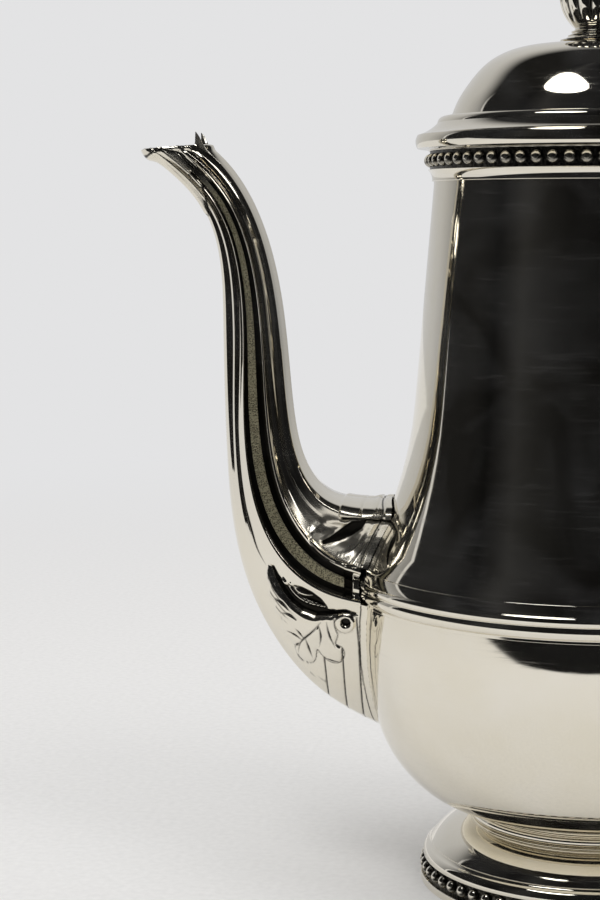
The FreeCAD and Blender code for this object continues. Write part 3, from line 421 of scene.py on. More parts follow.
class POT_OT_foot(bpy.types.Operator):
    """Turn the base ring, the spun foot and the collar under the bowl"""

    bl_idname = "pot.foot"
    bl_label = "Foot"

    def execute(self, context):
        turned("base_ring", [
            (38.8, 0), (42.8, 0), (42.8, 1.9), (41.1, 1.9), (41.1, 6.3), (42.1, 6.3), (41.1, 9.0, 42.02, 7.65),
            (40.1, 9.9, 40.46, 9.45), (38.8, 9.9)], "foot_ring")
        turned("spun_foot", [
            (40.1, 9.9), (30.0, 16.9, 36.95, 13.4), (26.0, 16.9), (26.0, 15.9), (30.0, 15.9),
            (39.1, 9.9, 35.85, 12.9)], "foot_dome")
        turned("bowl_collar", [
            (26.0, 16.9), (29.4, 16.9), (28.8, 19.3, 30.0, 18.1), (29.6, 21.7, 28.2, 20.5), (26.0, 21.7)],
            "foot_collar")
        return {"FINISHED"}


class POT_OT_body(bpy.types.Operator):
    """Turn the bowl and pierce it, and turn the belt, the upper body and the ring round the mouth"""

    bl_idname = "pot.body"
    bl_label = "Body"

    def execute(self, context):
        bowl = turned("bowl", [
            (58.1, 78.1), *BOWL_OUTSIDE, (0, 21.7), (0, 22.7), (30.0, 22.7), (42.2, 26.4, 36.47, 23.37),
            (53.2, 42.0, 48.94, 33.34), (57.1, 74.1, 56.65, 58.05), (57.1, 78.1)], "lower_bowl")
        holes = bmesh.new()
        for z in HOLE_HEIGHTS:
            for y in HOLE_PLACES:
                spot = Matrix.Translation(Vector((DRILL_X, y, z)) * MM) @ Matrix.Rotation(math.pi / 2, 4, "Y")
                bmesh.ops.create_cone(holes, cap_ends=True, segments=24, radius1=HOLE_RADIUS * MM,
                                      radius2=HOLE_RADIUS * MM, depth=DRILL_LENGTH * MM, matrix=spot)
        cut_away(bowl, holes)
        turned("belt", [
            (58.1, 74.1), (58.5, 74.1), (58.5, 74.9), (59.4, 78.1, 59.75, 76.5), (59.4, 80.5, 60.0, 79.3),
            (58.5, 83.2), (58.1, 83.2)], "belt_moulding")
        turned("upper_wall", [
            (40.7, 189.2), *WALL_OUTSIDE, (58.1, 78.1), (57.1, 78.1), (57.1, 83.2), (44.1, 125.2, 48.2, 104.2),
            (39.7, 180.0), (39.7, 189.2)], "upper_body")
        turned("mouth_moulding", [
            (40.7, 181.3), (41.15, 181.3), (42.2, 184.2, 41.35, 182.95), (41.3, 184.2), (41.3, 188.8), (42.1, 188.8),
            (42.1, 189.2), (40.7, 189.2)], "mouth_ring")
        return {"FINISHED"}


def store(piece, name, values):
    """Store a value for each vertex, for the material to read."""
    layer = piece.data.attributes.new(name, "FLOAT", "POINT")
    layer.data.foreach_set("value", np.asarray(values, dtype=np.float32))


def positions(piece):
    """A piece's vertices in mm."""
    spots = np.empty(len(piece.data.vertices) * 3, dtype=np.float32)
    piece.data.vertices.foreach_get("co", spots)
    return spots.reshape(-1, 3) / MM


BEAD_GROUND = 0.4  # mm that the strip under the beads stands out
BEAD_SEAT = 0.2    # mm that the middle of a bead stands out
BEAD_AXIS = (0.914, 0.407)  # outward and up, towards the cap of each bead that stays bright; painted shade darkens the rest of the bead


def bead_border(name, node, seat, low, high, places, left_out):
    """A strip with a row of beads; the ground between the beads stays dark with oxide, and painted shade darkens
    each bead away from a bright cap that faces out and up.
    """
    shape = bpy.context.scene.pot_shape
    pitch = 2 * math.pi / places
    gap = pitch * left_out
    bm = bmesh.new()
    trace(bm, [(seat, low), (seat + BEAD_GROUND, low), (seat + BEAD_GROUND, high), (seat, high)])
    bmesh.ops.transform(bm, matrix=Matrix.Rotation(gap / 2, 4, "Z"), verts=bm.verts)
    bmesh.ops.spin(bm, geom=bm.verts[:] + bm.edges[:], cent=(0, 0, 0), axis=(0, 0, 1),
                   angle=2 * math.pi - gap, steps=places * 3, use_merge=left_out == 0)
    if left_out:
        bmesh.ops.holes_fill(bm, edges=[edge for edge in bm.edges if edge.is_boundary], sides=4)
    middle = (low + high) / 2
    for index in range(places - left_out):
        angle = gap / 2 + pitch * (index + 0.5)
        spot = Matrix.Rotation(angle, 4, "Z") @ Matrix.Translation(((seat + BEAD_SEAT) * MM, 0, middle * MM))
        spot = spot @ Matrix.Rotation(math.pi / 2, 4, "Y")
        bmesh.ops.create_uvsphere(bm, u_segments=18, v_segments=12, radius=shape.bead_radius, matrix=spot)
    bmesh.ops.recalc_face_normals(bm, faces=bm.faces)
    piece = finish_piece(name, bm, chased_silver(), "pot", node, sharp=50)
    spots = positions(piece)
    reach = np.hypot(spots[:, 0], spots[:, 1]) - seat
    rise = (spots[:, 2] - middle) * MM / shape.bead_radius
    front = BEAD_AXIS[0] * (reach - BEAD_SEAT) * MM / shape.bead_radius + BEAD_AXIS[1] * rise
    # painted shade: each bead darkens away from its bright cap, somewhat less on its underside
    painted_bead_shade = 0.75 * smoothstep(0.97, 0.70, front) * (1 - 0.35 * smoothstep(-0.2, -0.7, rise))
    # oxide on the ground between the beads, together with the beads' painted shade
    store(piece, "oxide_and_painted_shade", np.maximum(np.clip(1.15 - reach / 0.95, 0, 1), painted_bead_shade))


class POT_OT_beads(bpy.types.Operator):
    """Set the bead borders of the foot and of the mouth"""

    bl_idname = "pot.beads"
    bl_label = "Bead borders"

    def execute(self, context):
        shape = context.scene.pot_shape
        bead_border("foot_beads", "foot_bead_border", 41.1, 1.9, 6.3, shape.foot_beads, 0)
        bead_border("rim_beads", "rim_bead_border", 41.3, 184.2, 188.8, shape.rim_beads, shape.beads_left_out)
        return {"FINISHED"}


# Spout: stations from lip to root as front x, front z, back x, back z and half width, in mm
STATIONS = [
    (-116.7, 189.9, -99.1, 190.9, 6.3),
    (-109.7, 184.6, -94.1, 186.1, 6.5),
    (-101.9, 176.6, -88.5, 178.1, 6.7),
    (-95.5, 146.9, -79.6, 147.9, 7.3),
    (-94.6, 110.9, -75.5, 114.4, 8.4),
    (-87.4, 72.2, -67.7, 101.5, 13.0),
    (-72.7, 50.4, -60.1, 99.4, 16.4),
    (-48.1, 36.7, -46.1, 99.4, 17.4),
]
NECK, HIP = 3, 6
SEAM = -0.03  # y of the near half's edge on the middle line
# Depth shares of the panel's front and back ridge at each station
RIDGES = [(0.28, 0.55), (0.30, 0.57), (0.33, 0.60), (0.388, 0.66), (0.32, 0.665), (0.44, 0.70), (0.535, 0.70),
          (0.587, 0.70)]
FRONT_RIDGE, BACK_RIDGE = 11, 22

# The section from front to back as shares of depth and half width, at the neck and at the root
SECTION = [
    (0, 0, 0, 0), (0.012, 0.30, 0.03, 0.30), (0.04, 0.52, 0.09, 0.48), (0.09, 0.62, 0.16, 0.62),
    (0.20, 0.69, 0.21, 0.70), (0.235, 0.755, 0.26, 0.77), (0.255, 0.71, 0.31, 0.83), (0.29, 0.70, 0.36, 0.875),
    (0.335, 0.79, 0.42, 0.92), (0.37, 0.90, 0.49, 0.96), (0.38, 0.935, 0.525, 0.985), (0.388, 0.95, 0.54, 1.0),
    (0.397, 0.935, 0.55, 0.985), (0.407, 0.87, 0.557, 0.93), (0.42, 0.845, 0.565, 0.91),
    (0.437, 0.845, 0.595, 0.905), (0.443, 0.865, 0.60, 0.925), (0.55, 0.865, 0.655, 0.925),
    (0.556, 0.845, 0.66, 0.905), (0.605, 0.845, 0.69, 0.905), (0.63, 0.88, 0.698, 0.93),
    (0.65, 0.935, 0.705, 0.985), (0.66, 0.95, 0.715, 1.0), (0.67, 0.935, 0.725, 0.985), (0.685, 0.86, 0.74, 0.93),
    (0.705, 0.74, 0.79, 0.82), (0.745, 0.70, 0.84, 0.76), (0.762, 0.73, 0.87, 0.755), (0.772, 0.80, 0.89, 0.77),
    (0.784, 0.73, 0.91, 0.79), (0.82, 0.62, 0.925, 0.81), (0.875, 0.54, 0.94, 0.83), (0.905, 0.55, 0.95, 0.83),
    (0.925, 0.555, 0.975, 0.70), (0.955, 0.36, 0.99, 0.40), (1, 0, 1, 0),
]
PANEL_LOW, PANEL_HIGH = 12.4, 20.6
BAND_LOW, BAND_HIGH = 15.5, 17.5


def spline(knots, values, at):
    """A natural cubic spline through values at knots."""
    h = np.diff(knots)
    count = len(knots)
    system = np.eye(count)
    right = np.zeros((count,) + values.shape[1:])
    for index in range(1, count - 1):
        system[index, index - 1:index + 2] = h[index - 1], 2 * (h[index - 1] + h[index]), h[index]
        right[index] = 6 * ((values[index + 1] - values[index]) / h[index]
                            - (values[index] - values[index - 1]) / h[index - 1])
    bend = np.linalg.solve(system, right)
    place = np.clip(np.searchsorted(knots, at) - 1, 0, count - 2)
    width = h[place]
    a = ((knots[place + 1] - at) / width)[..., None]
    b = ((at - knots[place]) / width)[..., None]
    return (a * values[place] + b * values[place + 1]
            + ((a ** 3 - a) * bend[place] + (b ** 3 - b) * bend[place + 1]) * (width ** 2)[..., None] / 6)


def smoothstep(low, high, value):
    """A soft step from 0 at low to 1 at high."""
    share = np.clip((value - low) / (high - low), 0, 1)
    return share * share * (3 - 2 * share)


def between(low, high, soft, value):
    """1 from low to high, with soft edges, and 0 outside."""
    return smoothstep(low, low + soft, value) * (1 - smoothstep(high - soft, high, value))


def hump(offset, width):
    """1 where an offset is 0, fading over a width."""
    return np.exp(-(offset / width) ** 2)


def station_marks():
    """How far along the spout each station lies."""
    table = np.array(STATIONS)
    middles = (table[:, 0:2] + table[:, 2:4]) / 2
    return np.concatenate([[0], np.cumsum(np.hypot(*np.diff(middles, axis=0).T))])


def spout_surface(along, across):
    """Points of the spout's near side in mm, for marks along it and shares across its section."""
    marks = station_marks()
    station = spline(marks, np.array(STATIONS), along)
    table = np.array(SECTION)
    steps = np.linspace(0, 1, len(SECTION))
    neck_depth, neck_half, root_depth, root_half = [np.interp(across, steps, table[:, k]) for k in range(4)]
    # the flutes die out on the lip
    plain = np.clip(1 - np.abs(2 * neck_depth - 1) ** 2.3, 0, 1) ** (1 / 2.3) * 0.9
    neck_half = neck_half + (plain - neck_half) * 0.75 * smoothstep(9, 1, along)
    share = smoothstep(0, 1, np.clip((along - marks[NECK]) / (marks[HIP] - marks[NECK]), 0, 1))
    half = neck_half + (root_half - neck_half) * share
    # the two ridges of the panel keep to their own lines, and the rest stretches between them
    depth = neck_depth + (root_depth - neck_depth) * share
    front, back = [table[ridge, 0] + (table[ridge, 2] - table[ridge, 0]) * share
                   for ridge in (FRONT_RIDGE, BACK_RIDGE)]
    front_line, back_line = np.moveaxis(spline(marks, np.array(RIDGES), along), -1, 0)
    depth = np.where(depth < front, depth * front_line / front, np.where(
        depth < back, front_line + (depth - front) * (back_line - front_line) / (back - front),
        1 - (1 - depth) * (1 - back_line) / (1 - back)))
    front_x, front_z, back_x, back_z, width = np.moveaxis(station, -1, 0)
    return np.stack([front_x + (back_x - front_x) * depth, SEAM - width * half,
                     front_z + (back_z - front_z) * depth], axis=-1)


ASIDE, AHEAD = 0.003, 0.3  # half steps across and along, to feel the slope


def spout_normal(along, across):
    """Outward directions of the spout's near side, and its length for each mm of the middle line."""
    last = station_marks()[-1]
    aside = (spout_surface(along, np.clip(across + ASIDE, 0, 1))
             - spout_surface(along, np.clip(across - ASIDE, 0, 1)))
    ahead = (spout_surface(np.minimum(along + AHEAD, last), across)
             - spout_surface(np.maximum(along - AHEAD, 0), across))
    normal = np.cross(aside, ahead)
    normal /= np.maximum(np.linalg.norm(normal, axis=-1, keepdims=True), 1e-9)
    return normal * (1 if np.median(normal[..., 1]) < 0 else -1), np.linalg.norm(ahead, axis=-1) / (2 * AHEAD)


def outline_radius(corners):
    """Heights and radii along an outline, from low to high."""
    bm = bmesh.new()
    chain = trace(bm, corners, closed=False)
    points = np.array([(vert.co.z / MM, vert.co.x / MM) for vert in chain])
    bm.free()
    return points[np.argsort(points[:, 0])]


def body_radius(height):
    """The radius of the pot's outside, with its belt, at a height."""
    low = outline_radius(BOWL_OUTSIDE)
    high = outline_radius(WALL_OUTSIDE)
    return np.where(height < BELT_LOW, np.interp(height, low[:, 0], low[:, 1]),
                    np.where(height > BELT_HIGH, np.interp(height, high[:, 0], high[:, 1]), BELT_RADIUS))


def run_distance(points, line):
    """Each point's distance from a run of segments of the side view, and how far along the run it lies."""
    best = np.full(points.shape[:-1], 1e9)
    place = np.zeros(points.shape[:-1])
    line = np.array(line, dtype=float)
    for index in range(len(line) - 1):
        step = line[index + 1] - line[index]
        share = np.clip(((points - line[index]) @ step) / (step @ step), 0, 1)
        gap = np.hypot(*np.moveaxis(points - (line[index] + share[..., None] * step), -1, 0))
        closer = gap < best
        best = np.where(closer, gap, best)
        place = np.where(closer, (index + share) / (len(line) - 1), place)
    return best, place


def smooth_run(points, count=24):
    """A smooth run through a few control points of the side view."""
    points = np.array(points, dtype=float)
    marks = np.concatenate([[0], np.cumsum(np.hypot(*np.diff(points, axis=0).T))])
    return spline(marks, points, np.linspace(0, marks[-1], count))


# Chased ornament of the spout, drawn in the side view as x and z in mm
CRESCENT = [
    (-82.0, 83.0), (-80.8, 79.4), (-79.0, 76.2), (-76.4, 73.1), (-73.3, 71.0), (-69.6, 69.9), (-65.6, 70.5),
    (-62.4, 71.2), (-57.5, 71.7), (-61.3, 72.7), (-63.9, 72.5), (-65.8, 72.9), (-67.7, 75.2), (-70.2, 76.9),
    (-73.0, 78.0), (-75.4, 78.4), (-77.4, 78.6), (-79.2, 80.6), (-80.6, 83.0),
]
CURL = [(-78.0, 79.4), (-76.4, 76.9), (-74.2, 74.9), (-71.2, 73.6), (-67.8, 72.9), (-65.0, 72.3)]
TONGUE = [(-76.0, 78.2), (-74.6, 76.7), (-72.6, 75.8), (-70.4, 75.6)]
HATCH_GAPS = (1.2, 2.2, 3.3, 4.5)  # of the fine lines along the crescent
NOSE_LINE = [(-89.4, 101.0), (-87.6, 94.3), (-86.5, 90.7), (-85.0, 86.5), (-82.6, 82.6)]
LEAF = [
    (-82.1, 82.0), (-80.9, 78.4), (-78.1, 74.6), (-74.2, 71.5), (-69.4, 69.9), (-64.6, 70.1), (-64.3, 67.7),
    (-63.6, 65.4), (-64.2, 63.3), (-62.6, 62.4), (-62.0, 60.1), (-63.0, 58.4), (-67.4, 59.4), (-69.1, 61.4),
    (-70.1, 57.9), (-73.0, 57.6), (-75.1, 60.1), (-75.6, 62.4), (-77.0, 63.6), (-78.9, 66.3), (-78.5, 68.9),
    (-80.7, 70.9), (-80.4, 73.1), (-82.1, 74.8), (-81.7, 77.3), (-82.6, 79.2),
]
VEINS = [
    [(-67.8, 69.0), (-70.8, 65.6), (-73.5, 62.8), (-74.3, 59.0)],
    [(-73.0, 63.6), (-75.1, 64.9), (-77.6, 65.7)],
    [(-73.5, 62.8), (-74.7, 62.0), (-75.6, 60.8)],
    [(-72.0, 64.4), (-71.2, 61.4), (-70.3, 58.5)],
    [(-72.6, 64.4), (-73.6, 65.7), (-74.7, 66.8)],
    [(-68.5, 68.4), (-67.8, 65.3), (-68.5, 62.0)],
    [(-66.3, 69.2), (-65.5, 65.4), (-63.9, 61.8)],
    [(-78.8, 70.3), (-76.4, 70.4), (-74.0, 69.0)],
    [(-80.4, 74.4), (-78.3, 73.4), (-76.2, 71.4)],
]
VOLUTE = [(-57.8, 70.6), (-60.2, 71.2), (-62.6, 70.8), (-64.2, 69.3), (-63.9, 67.6), (-62.3, 66.5), (-60.4, 66.8),
          (-59.6, 68.2)]
EYE, PUPIL = (-61.5, 69.0), (-61.3, 69.3)
REEDS = [
    [(-67.4, 59.4), (-67.2, 55.0), (-67.1, 49.0)],
    [(-62.4, 62.4), (-62.3, 55.0), (-62.2, 45.0)],
    [(-58.5, 70.6), (-58.0, 62.5), (-57.8, 40.0)],
]
STEPS = [[(-67.4, 59.3), (-65.0, 58.7), (-62.4, 58.2)], [(-71.6, 54.1), (-69.4, 52.8), (-67.0, 51.5)]]
DARK_LEAF = [
    (-63.8, 92.7), (-60.4, 95.2), (-55.8, 95.6), (-57.3, 93.0), (-60.3, 91.0), (-63.4, 89.7), (-67.6, 88.8),
    (-68.3, 90.0), (-66.4, 90.9),
]
BLADE = [(-70.4, 92.0), (-67.6, 94.2), (-63.8, 95.0), (-61.2, 94.4)]
LEAF_LINES = [
    [(-57.3, 91.6), (-59.6, 88.0), (-63.7, 86.6)], [(-56.5, 89.6), (-58.8, 86.0), (-60.8, 83.9)],
    [(-71.2, 93.0), (-70.4, 89.0), (-67.9, 86.3), (-64.1, 84.8), (-59.6, 83.0)],
]
DECK_SEAMS = (-57.8, -53.6)
CHIN_LEAF = [
    (-119.0, 189.0), (-114.1, 188.6), (-112.0, 189.5), (-108.8, 189.2), (-106.2, 188.7), (-105.2, 187.4),
    (-103.6, 185.6), (-102.4, 184.7), (-103.1, 183.4), (-101.0, 181.9), (-100.0, 180.7), (-99.4, 177.6),
    (-98.6, 173.0), (-104.0, 173.0), (-114.0, 182.0), (-120.0, 187.0),
]
CHIN_LINES = [
    [(-107.6, 187.4), (-104.0, 184.0), (-101.0, 179.0), (-99.2, 174.4)],
    [(-110.4, 187.0), (-106.4, 183.4), (-103.0, 179.8)],
]


def outline_depth(points, outline):
    """How deep inside a closed outline of the side view each point lies, negative outside it."""
    gap, _ = run_distance(points, outline + outline[:1])
    inside = np.zeros(points.shape[:-1], dtype=bool)
    for (x0, z0), (x1, z1) in zip(outline, outline[1:] + outline[:1]):
        crossing = (z0 > points[..., 1]) != (z1 > points[..., 1])
        inside ^= crossing & (points[..., 0] < x0 + (points[..., 1] - z0) * (x1 - x0) / (z1 - z0 + 1e-12))
    return np.where(inside, gap, -gap)


def bite(points, line, width):
    """A narrow mark along a smooth line: 1 on it, tapering at its ends."""
    gap, place = run_distance(points, smooth_run(line))
    taper = np.sqrt(np.clip(1.1 - np.abs(place - 0.45) * 1.7, 0.1, 1))
    return hump(gap, width * taper) * taper


class Chasing:
    """The chased relief of the near half: its height in mm, what is dark by itself, and what is only brushed."""

    def __init__(self, points, edge_gap, across):
        self.side = points[..., [0, 2]]
        self.x, self.z = self.side[..., 0], self.side[..., 1]
        self.edge_gap = edge_gap
        self.step = across * (len(SECTION) - 1)
        self.below_belt = smoothstep(75.5, 73.5, self.z)
        self.above_belt = smoothstep(82.0, 84.5, self.z)
        self.height = np.zeros(across.shape)
        self.dark = np.zeros(across.shape)
        self.satin = np.zeros(across.shape)
        self.root_leaf()
        self.volute()
        self.plates()
        self.panel_end()
        self.upper_hollow()
        self.collar()
        self.chin_leaf()

    def shade(self, amount):
        """Darken to an amount from 0 to 1 at least."""
        self.dark = np.maximum(self.dark, amount)

    def work(self, mask, rise, shade):
        """Raise what a mask shows by mm, and darken it."""
        self.height += rise * mask
        self.shade(shade * mask)

    def engrave(self, lines, width, depth, shade):
        """Cut lines of a width and depth in mm, and darken them."""
        for line in lines:
            self.work(bite(self.side, line, width), -depth, shade)

    def root_leaf(self):
        """The leaf under the panel, with the dark crescent and the curl along its top."""
        leaf = outline_depth(self.side, list(smooth_run(LEAF + LEAF[:1], 120)))
        self.height += 0.40 * smoothstep(-0.3, 0.7, leaf) + 0.35 * smoothstep(0, 5, leaf)
        self.shade(0.7 * self.below_belt * hump(leaf + 0.1, 0.22) * smoothstep(-77.5, -74.0, self.x))
        hollow = outline_depth(self.side, CRESCENT)
        curl = np.maximum(bite(self.side, CURL, 0.55), bite(self.side, TONGUE, 0.65))
        self.height += 0.9 * curl - 1.6 * smoothstep(-0.3, 1.2, hollow)
        self.shade(smoothstep(0.0, 0.6, hollow) * (1 - 0.9 * curl))
        self.engrave(VEINS, 0.36, 0.30, 0.85)
        self.engrave([NOSE_LINE], 0.38, 0, 0.9)
        gap, place = run_distance(self.side, smooth_run(CRESCENT[:6]))
        hatch = smoothstep(0.02, 0.1, place) * smoothstep(0.85, 0.6, place) * smoothstep(0.2, 0.6, leaf)
        for away in HATCH_GAPS:
            self.shade(0.62 * hatch * hump(gap - away, 0.27))

    def volute(self):
        """A raised disc in a fine line, with a dark eye."""
        disc = smoothstep(2.7, 2.2, np.hypot(self.x - EYE[0], self.z - EYE[1]))
        pupil = np.hypot(self.x - PUPIL[0], (self.z - PUPIL[1]) * 1.15)
        self.height += disc * (0.5 - self.height) - 1.0 * smoothstep(1.5, 0.9, pupil)
        self.dark *= 1 - disc
        self.shade(smoothstep(1.45, 1.0, pupil))
        self.engrave([VOLUTE], 0.26, 0, 0.75)

    def plates(self):
        """Reeded plates beside the body, and the steps over them."""
        for line in REEDS:
            run = np.array(line)
            edge = np.interp(self.z, run[::-1, 1], run[::-1, 0])
            seam = smoothstep(run[0, 1] + 0.4, run[0, 1] - 0.4, self.z) * hump(self.x - edge, 0.32)
            self.work(seam, -0.25, 0.80)
        self.engrave(STEPS, 0.34, 0, 0.85)

    def panel_end(self):
        """The sunk panel's square end, and the narrow border beyond it."""
        panel = between(PANEL_LOW, PANEL_HIGH, 0.6, self.step)
        slot = panel * smoothstep(1.6, 2.0, self.edge_gap) * smoothstep(4.2, 3.8, self.edge_gap)
        border = panel * smoothstep(2.0, 1.6, self.edge_gap)
        self.work(slot, -0.5, 1.0)
        self.height += 0.7 * border
        self.dark *= 1 - border
        self.shade(0.8 * self.below_belt * hump(self.edge_gap - 1.7, 0.25))

    def upper_hollow(self):
        """The brushed hollow over the panel, with its curled dark leaf."""
        hole = outline_depth(self.side, DARK_LEAF)
        self.height -= 0.7 * smoothstep(-0.4, 1.2, hole)
        self.shade(smoothstep(-0.1, 0.5, hole))
        self.height += 0.5 * bite(self.side, BLADE, 1.2)
        self.engrave(LEAF_LINES, 0.34, 0.25, 0.75)
        hollow = self.above_belt * smoothstep(22.6, 24.6, self.step) * smoothstep(33.0, 32.0, self.step)
        self.satin = np.maximum(self.satin, hollow * smoothstep(104, 96, self.z))

    def collar(self):
        """The collar along the upper body, and the plain deck over it."""
        rim = 0.5 * smoothstep(2.2, 1.4, self.edge_gap) + 0.4 * hump(self.edge_gap - 3.6, 0.8)
        self.height += self.above_belt * rim
        self.shade(0.8 * self.above_belt * hump(self.edge_gap - 2.3, 0.3))
        deck = smoothstep(95.8, 96.4, self.z) * smoothstep(-63.6, -63.0, self.x)
        under = hump(self.z - 95.5, 0.45) * smoothstep(-63.4, -62.4, self.x)
        self.height += 0.5 * deck
        self.work(under, -0.7, 0.9)
        for x in DECK_SEAMS:
            self.height -= 0.3 * deck * hump(self.x - x, 0.2)

    def chin_leaf(self):
        """The cream leaf under the chin, with a dark scalloped edge."""
        chin = outline_depth(self.side, CHIN_LEAF)
        self.height += 0.35 * smoothstep(-0.3, 0.6, chin)
        self.dark *= 1 - smoothstep(0.1, 0.4, chin)
        self.shade(0.9 * hump(chin + 0.15, 0.32))
        self.engrave(CHIN_LINES, 0.3, 0, 0.4)
        self.satin = np.maximum(self.satin, smoothstep(0.1, 0.6, chin))


def softened(field, reach):
    """A field of the casting's grid, averaged over its neighbours."""
    padded = np.pad(field, reach, mode="edge")
    rows, columns = field.shape
    places = range(0, 2 * reach + 1, 2)
    total = sum(padded[row:row + rows, column:column + columns] for row in places for column in places)
    return total / len(places) ** 2


INSIDE_ROWS, LIP_ROWS, NECK_ROWS, ROOT_ROWS = 14, 64, 92, 270
LIP_SHARE, NECK_SHARE = 0.13, 0.5
COLUMNS = 204
SEARCH_STEPS = 1200
BODY_GAP = 0.06  # mm that the spout's root keeps from the body
LINING_DEPTH, LINING_WALL = 24, 0.9
TIP_LEAN = np.array([-0.8, 0, 3.6])


def columns_across():
    """Shares across the section, closer together where the leaves are."""
    density = np.interp(np.linspace(0, 1, 400), [0, 0.06, 0.10, 0.28, 0.33, 0.65, 0.70, 1],
                        [0.8, 0.8, 2.0, 2.0, 1, 1, 1, 0.9])
    marks = np.concatenate([[0], np.cumsum(density)])
    return np.interp(np.linspace(0, marks[-1], COLUMNS + 1), marks, np.linspace(0, 1, 401))


def body_marks(columns):
    """How far along the spout each column meets the body."""
    marks = station_marks()
    steps = np.linspace(0, marks[-1], SEARCH_STEPS)
    sheet = spout_surface(*np.meshgrid(steps, columns, indexing="ij"))
    inside = np.hypot(sheet[..., 0], sheet[..., 1]) < body_radius(sheet[..., 2]) + BODY_GAP
    inside &= (steps > marks[NECK + 1])[:, None]
    return steps[np.argmax(inside, axis=0)]


def lip_lining(columns):
    """Points from inside the spout up to its lip."""
    depth = np.linspace(LINING_DEPTH, 0.3, INSIDE_ROWS)[:, None] * np.ones(COLUMNS + 1)
    share = np.broadcast_to(columns, depth.shape)
    wall = (LINING_WALL * smoothstep(-0.6, 1.5, depth))[..., None]
    return spout_surface(depth, share) - spout_normal(depth, share)[0] * wall


def casting_grid():
    """The near half's points in mm from inside the lip to the root, and how dark, matt and brushed each is."""
    columns = columns_across()
    end = body_marks(columns)
    shares = np.concatenate([
        np.linspace(0, LIP_SHARE, LIP_ROWS, endpoint=False),
        np.linspace(LIP_SHARE, NECK_SHARE, NECK_ROWS, endpoint=False),
        np.linspace(NECK_SHARE, 1, ROOT_ROWS + 1)])
    across = np.broadcast_to(columns, (len(shares), COLUMNS + 1))
    mark = shares[:, None] * end
    points = spout_surface(mark, across)
    normal, speed = spout_normal(mark, across)
    edge_gap = (end - mark) * np.clip(speed, 0.3, 2.5)
    chased = Chasing(points, edge_gap, across)
    # the two halves meet smoothly on the middle line
    clear = smoothstep(0.1, 1.2, -points[..., 1])
    height = chased.height * clear
    # rolled edge of the lip, blunt at the nose
    nose = hump(across, 0.15)
    height += (0.55 + 0.75 * nose) * hump(mark - 0.9 - 0.9 * nose, 0.9 + 1.3 * nose)
    band = between(BAND_LOW, BAND_HIGH, 0.4, chased.step) * smoothstep(4.0, 4.4, edge_gap) * smoothstep(10, 18, mark)
    panel = between(PANEL_LOW, PANEL_HIGH, 0.5, chased.step)
    sunk = np.clip((softened(height, 6) - height) * 1.5 - 0.05, 0, 1) * smoothstep(0.6, 1.8, edge_gap)
    channel = (panel - band).clip(0, 1) * smoothstep(8, 16, mark) * smoothstep(1.6, 2.0, edge_gap)
    dark = np.maximum(np.maximum(chased.dark * clear, sunk), channel * 0.95)
    points = points + normal * (height * bpy.context.scene.pot_shape.relief / MM)[..., None]
    # leaf tip standing on the lip's back corner
    tip = np.clip(1 - np.abs(across - 0.914) / 0.035, 0, 1) * np.clip(1 - mark / 5.0, 0, 1) ** 1.5
    satin = np.maximum(chased.satin, smoothstep(0.0, 0.2, tip))
    points += tip[..., None] * TIP_LEAN
    points = np.concatenate([lip_lining(columns), points])
    points[..., 0] = np.maximum(points[..., 0], STATIONS[0][0])
    points[..., 1] = np.minimum(points[..., 1], SEAM)
    blank = np.zeros((INSIDE_ROWS, COLUMNS + 1))
    return points, np.concatenate([blank + 0.3, dark]), np.concatenate([blank, band]), np.concatenate([blank, satin])


PROBE = (-90.0, 7.0, 130.0)  # a place beside the neck, which the faces there look at


def cast_half(name, node, side):
    """One cast half of the spout: fluted, with its sunk panel and its chased root and lip."""
    points, dark, matt, satin = casting_grid()
    rows = points.shape[0] - 1
    bm = bmesh.new()
    bmesh.ops.create_grid(bm, x_segments=rows, y_segments=COLUMNS, size=1.0)
    for vert in bm.verts:
        row = round((vert.co.x + 1) / 2 * rows)
        column = round((vert.co.y + 1) / 2 * COLUMNS)
        x, y, z = points[row, column]
        vert.co = (x * MM, -side * y * MM, z * MM)
        vert.index = row * (COLUMNS + 1) + column
    order = [vert.index for vert in bm.verts]
    bm.normal_update()
    probe = Vector((PROBE[0], side * PROBE[1], PROBE[2])) * MM
    nearest = min(bm.faces, key=lambda face: (face.calc_center_median() - probe).length_squared)
    if nearest.normal.y * side < 0:
        bmesh.ops.reverse_faces(bm, faces=bm.faces)
    piece = finish_piece(name, bm, chased_silver(), "pot", node, sharp=70)
    for attribute, values in (("oxide_and_painted_shade", dark), ("stipple", matt), ("satin", satin)):
        store(piece, attribute, values.ravel()[order])


class POT_OT_spout(bpy.types.Operator):
    """Cast and chase the two halves of the spout"""

    bl_idname = "pot.spout"
    bl_label = "Spout"

    def execute(self, context):
        cast_half("near_casting", "spout_near_half", -1)
        cast_half("far_casting", "spout_far_half", 1)
        return {"FINISHED"}


LID_OUTSIDE = [(36.4, 197.5), (34.75, 201.6), (32.35, 205.4), (27.6, 210.75), (21.0, 214.15), (9.6, 215.5)]
NOTCH_MIDDLE, NOTCH_SIZE = (45.7, 0, 192.2), (4.6, 11.2, 7.4)  # flat on the edge for the hinge leaf
FLUTE_DEPTH = 0.05  # share of the bud's radius


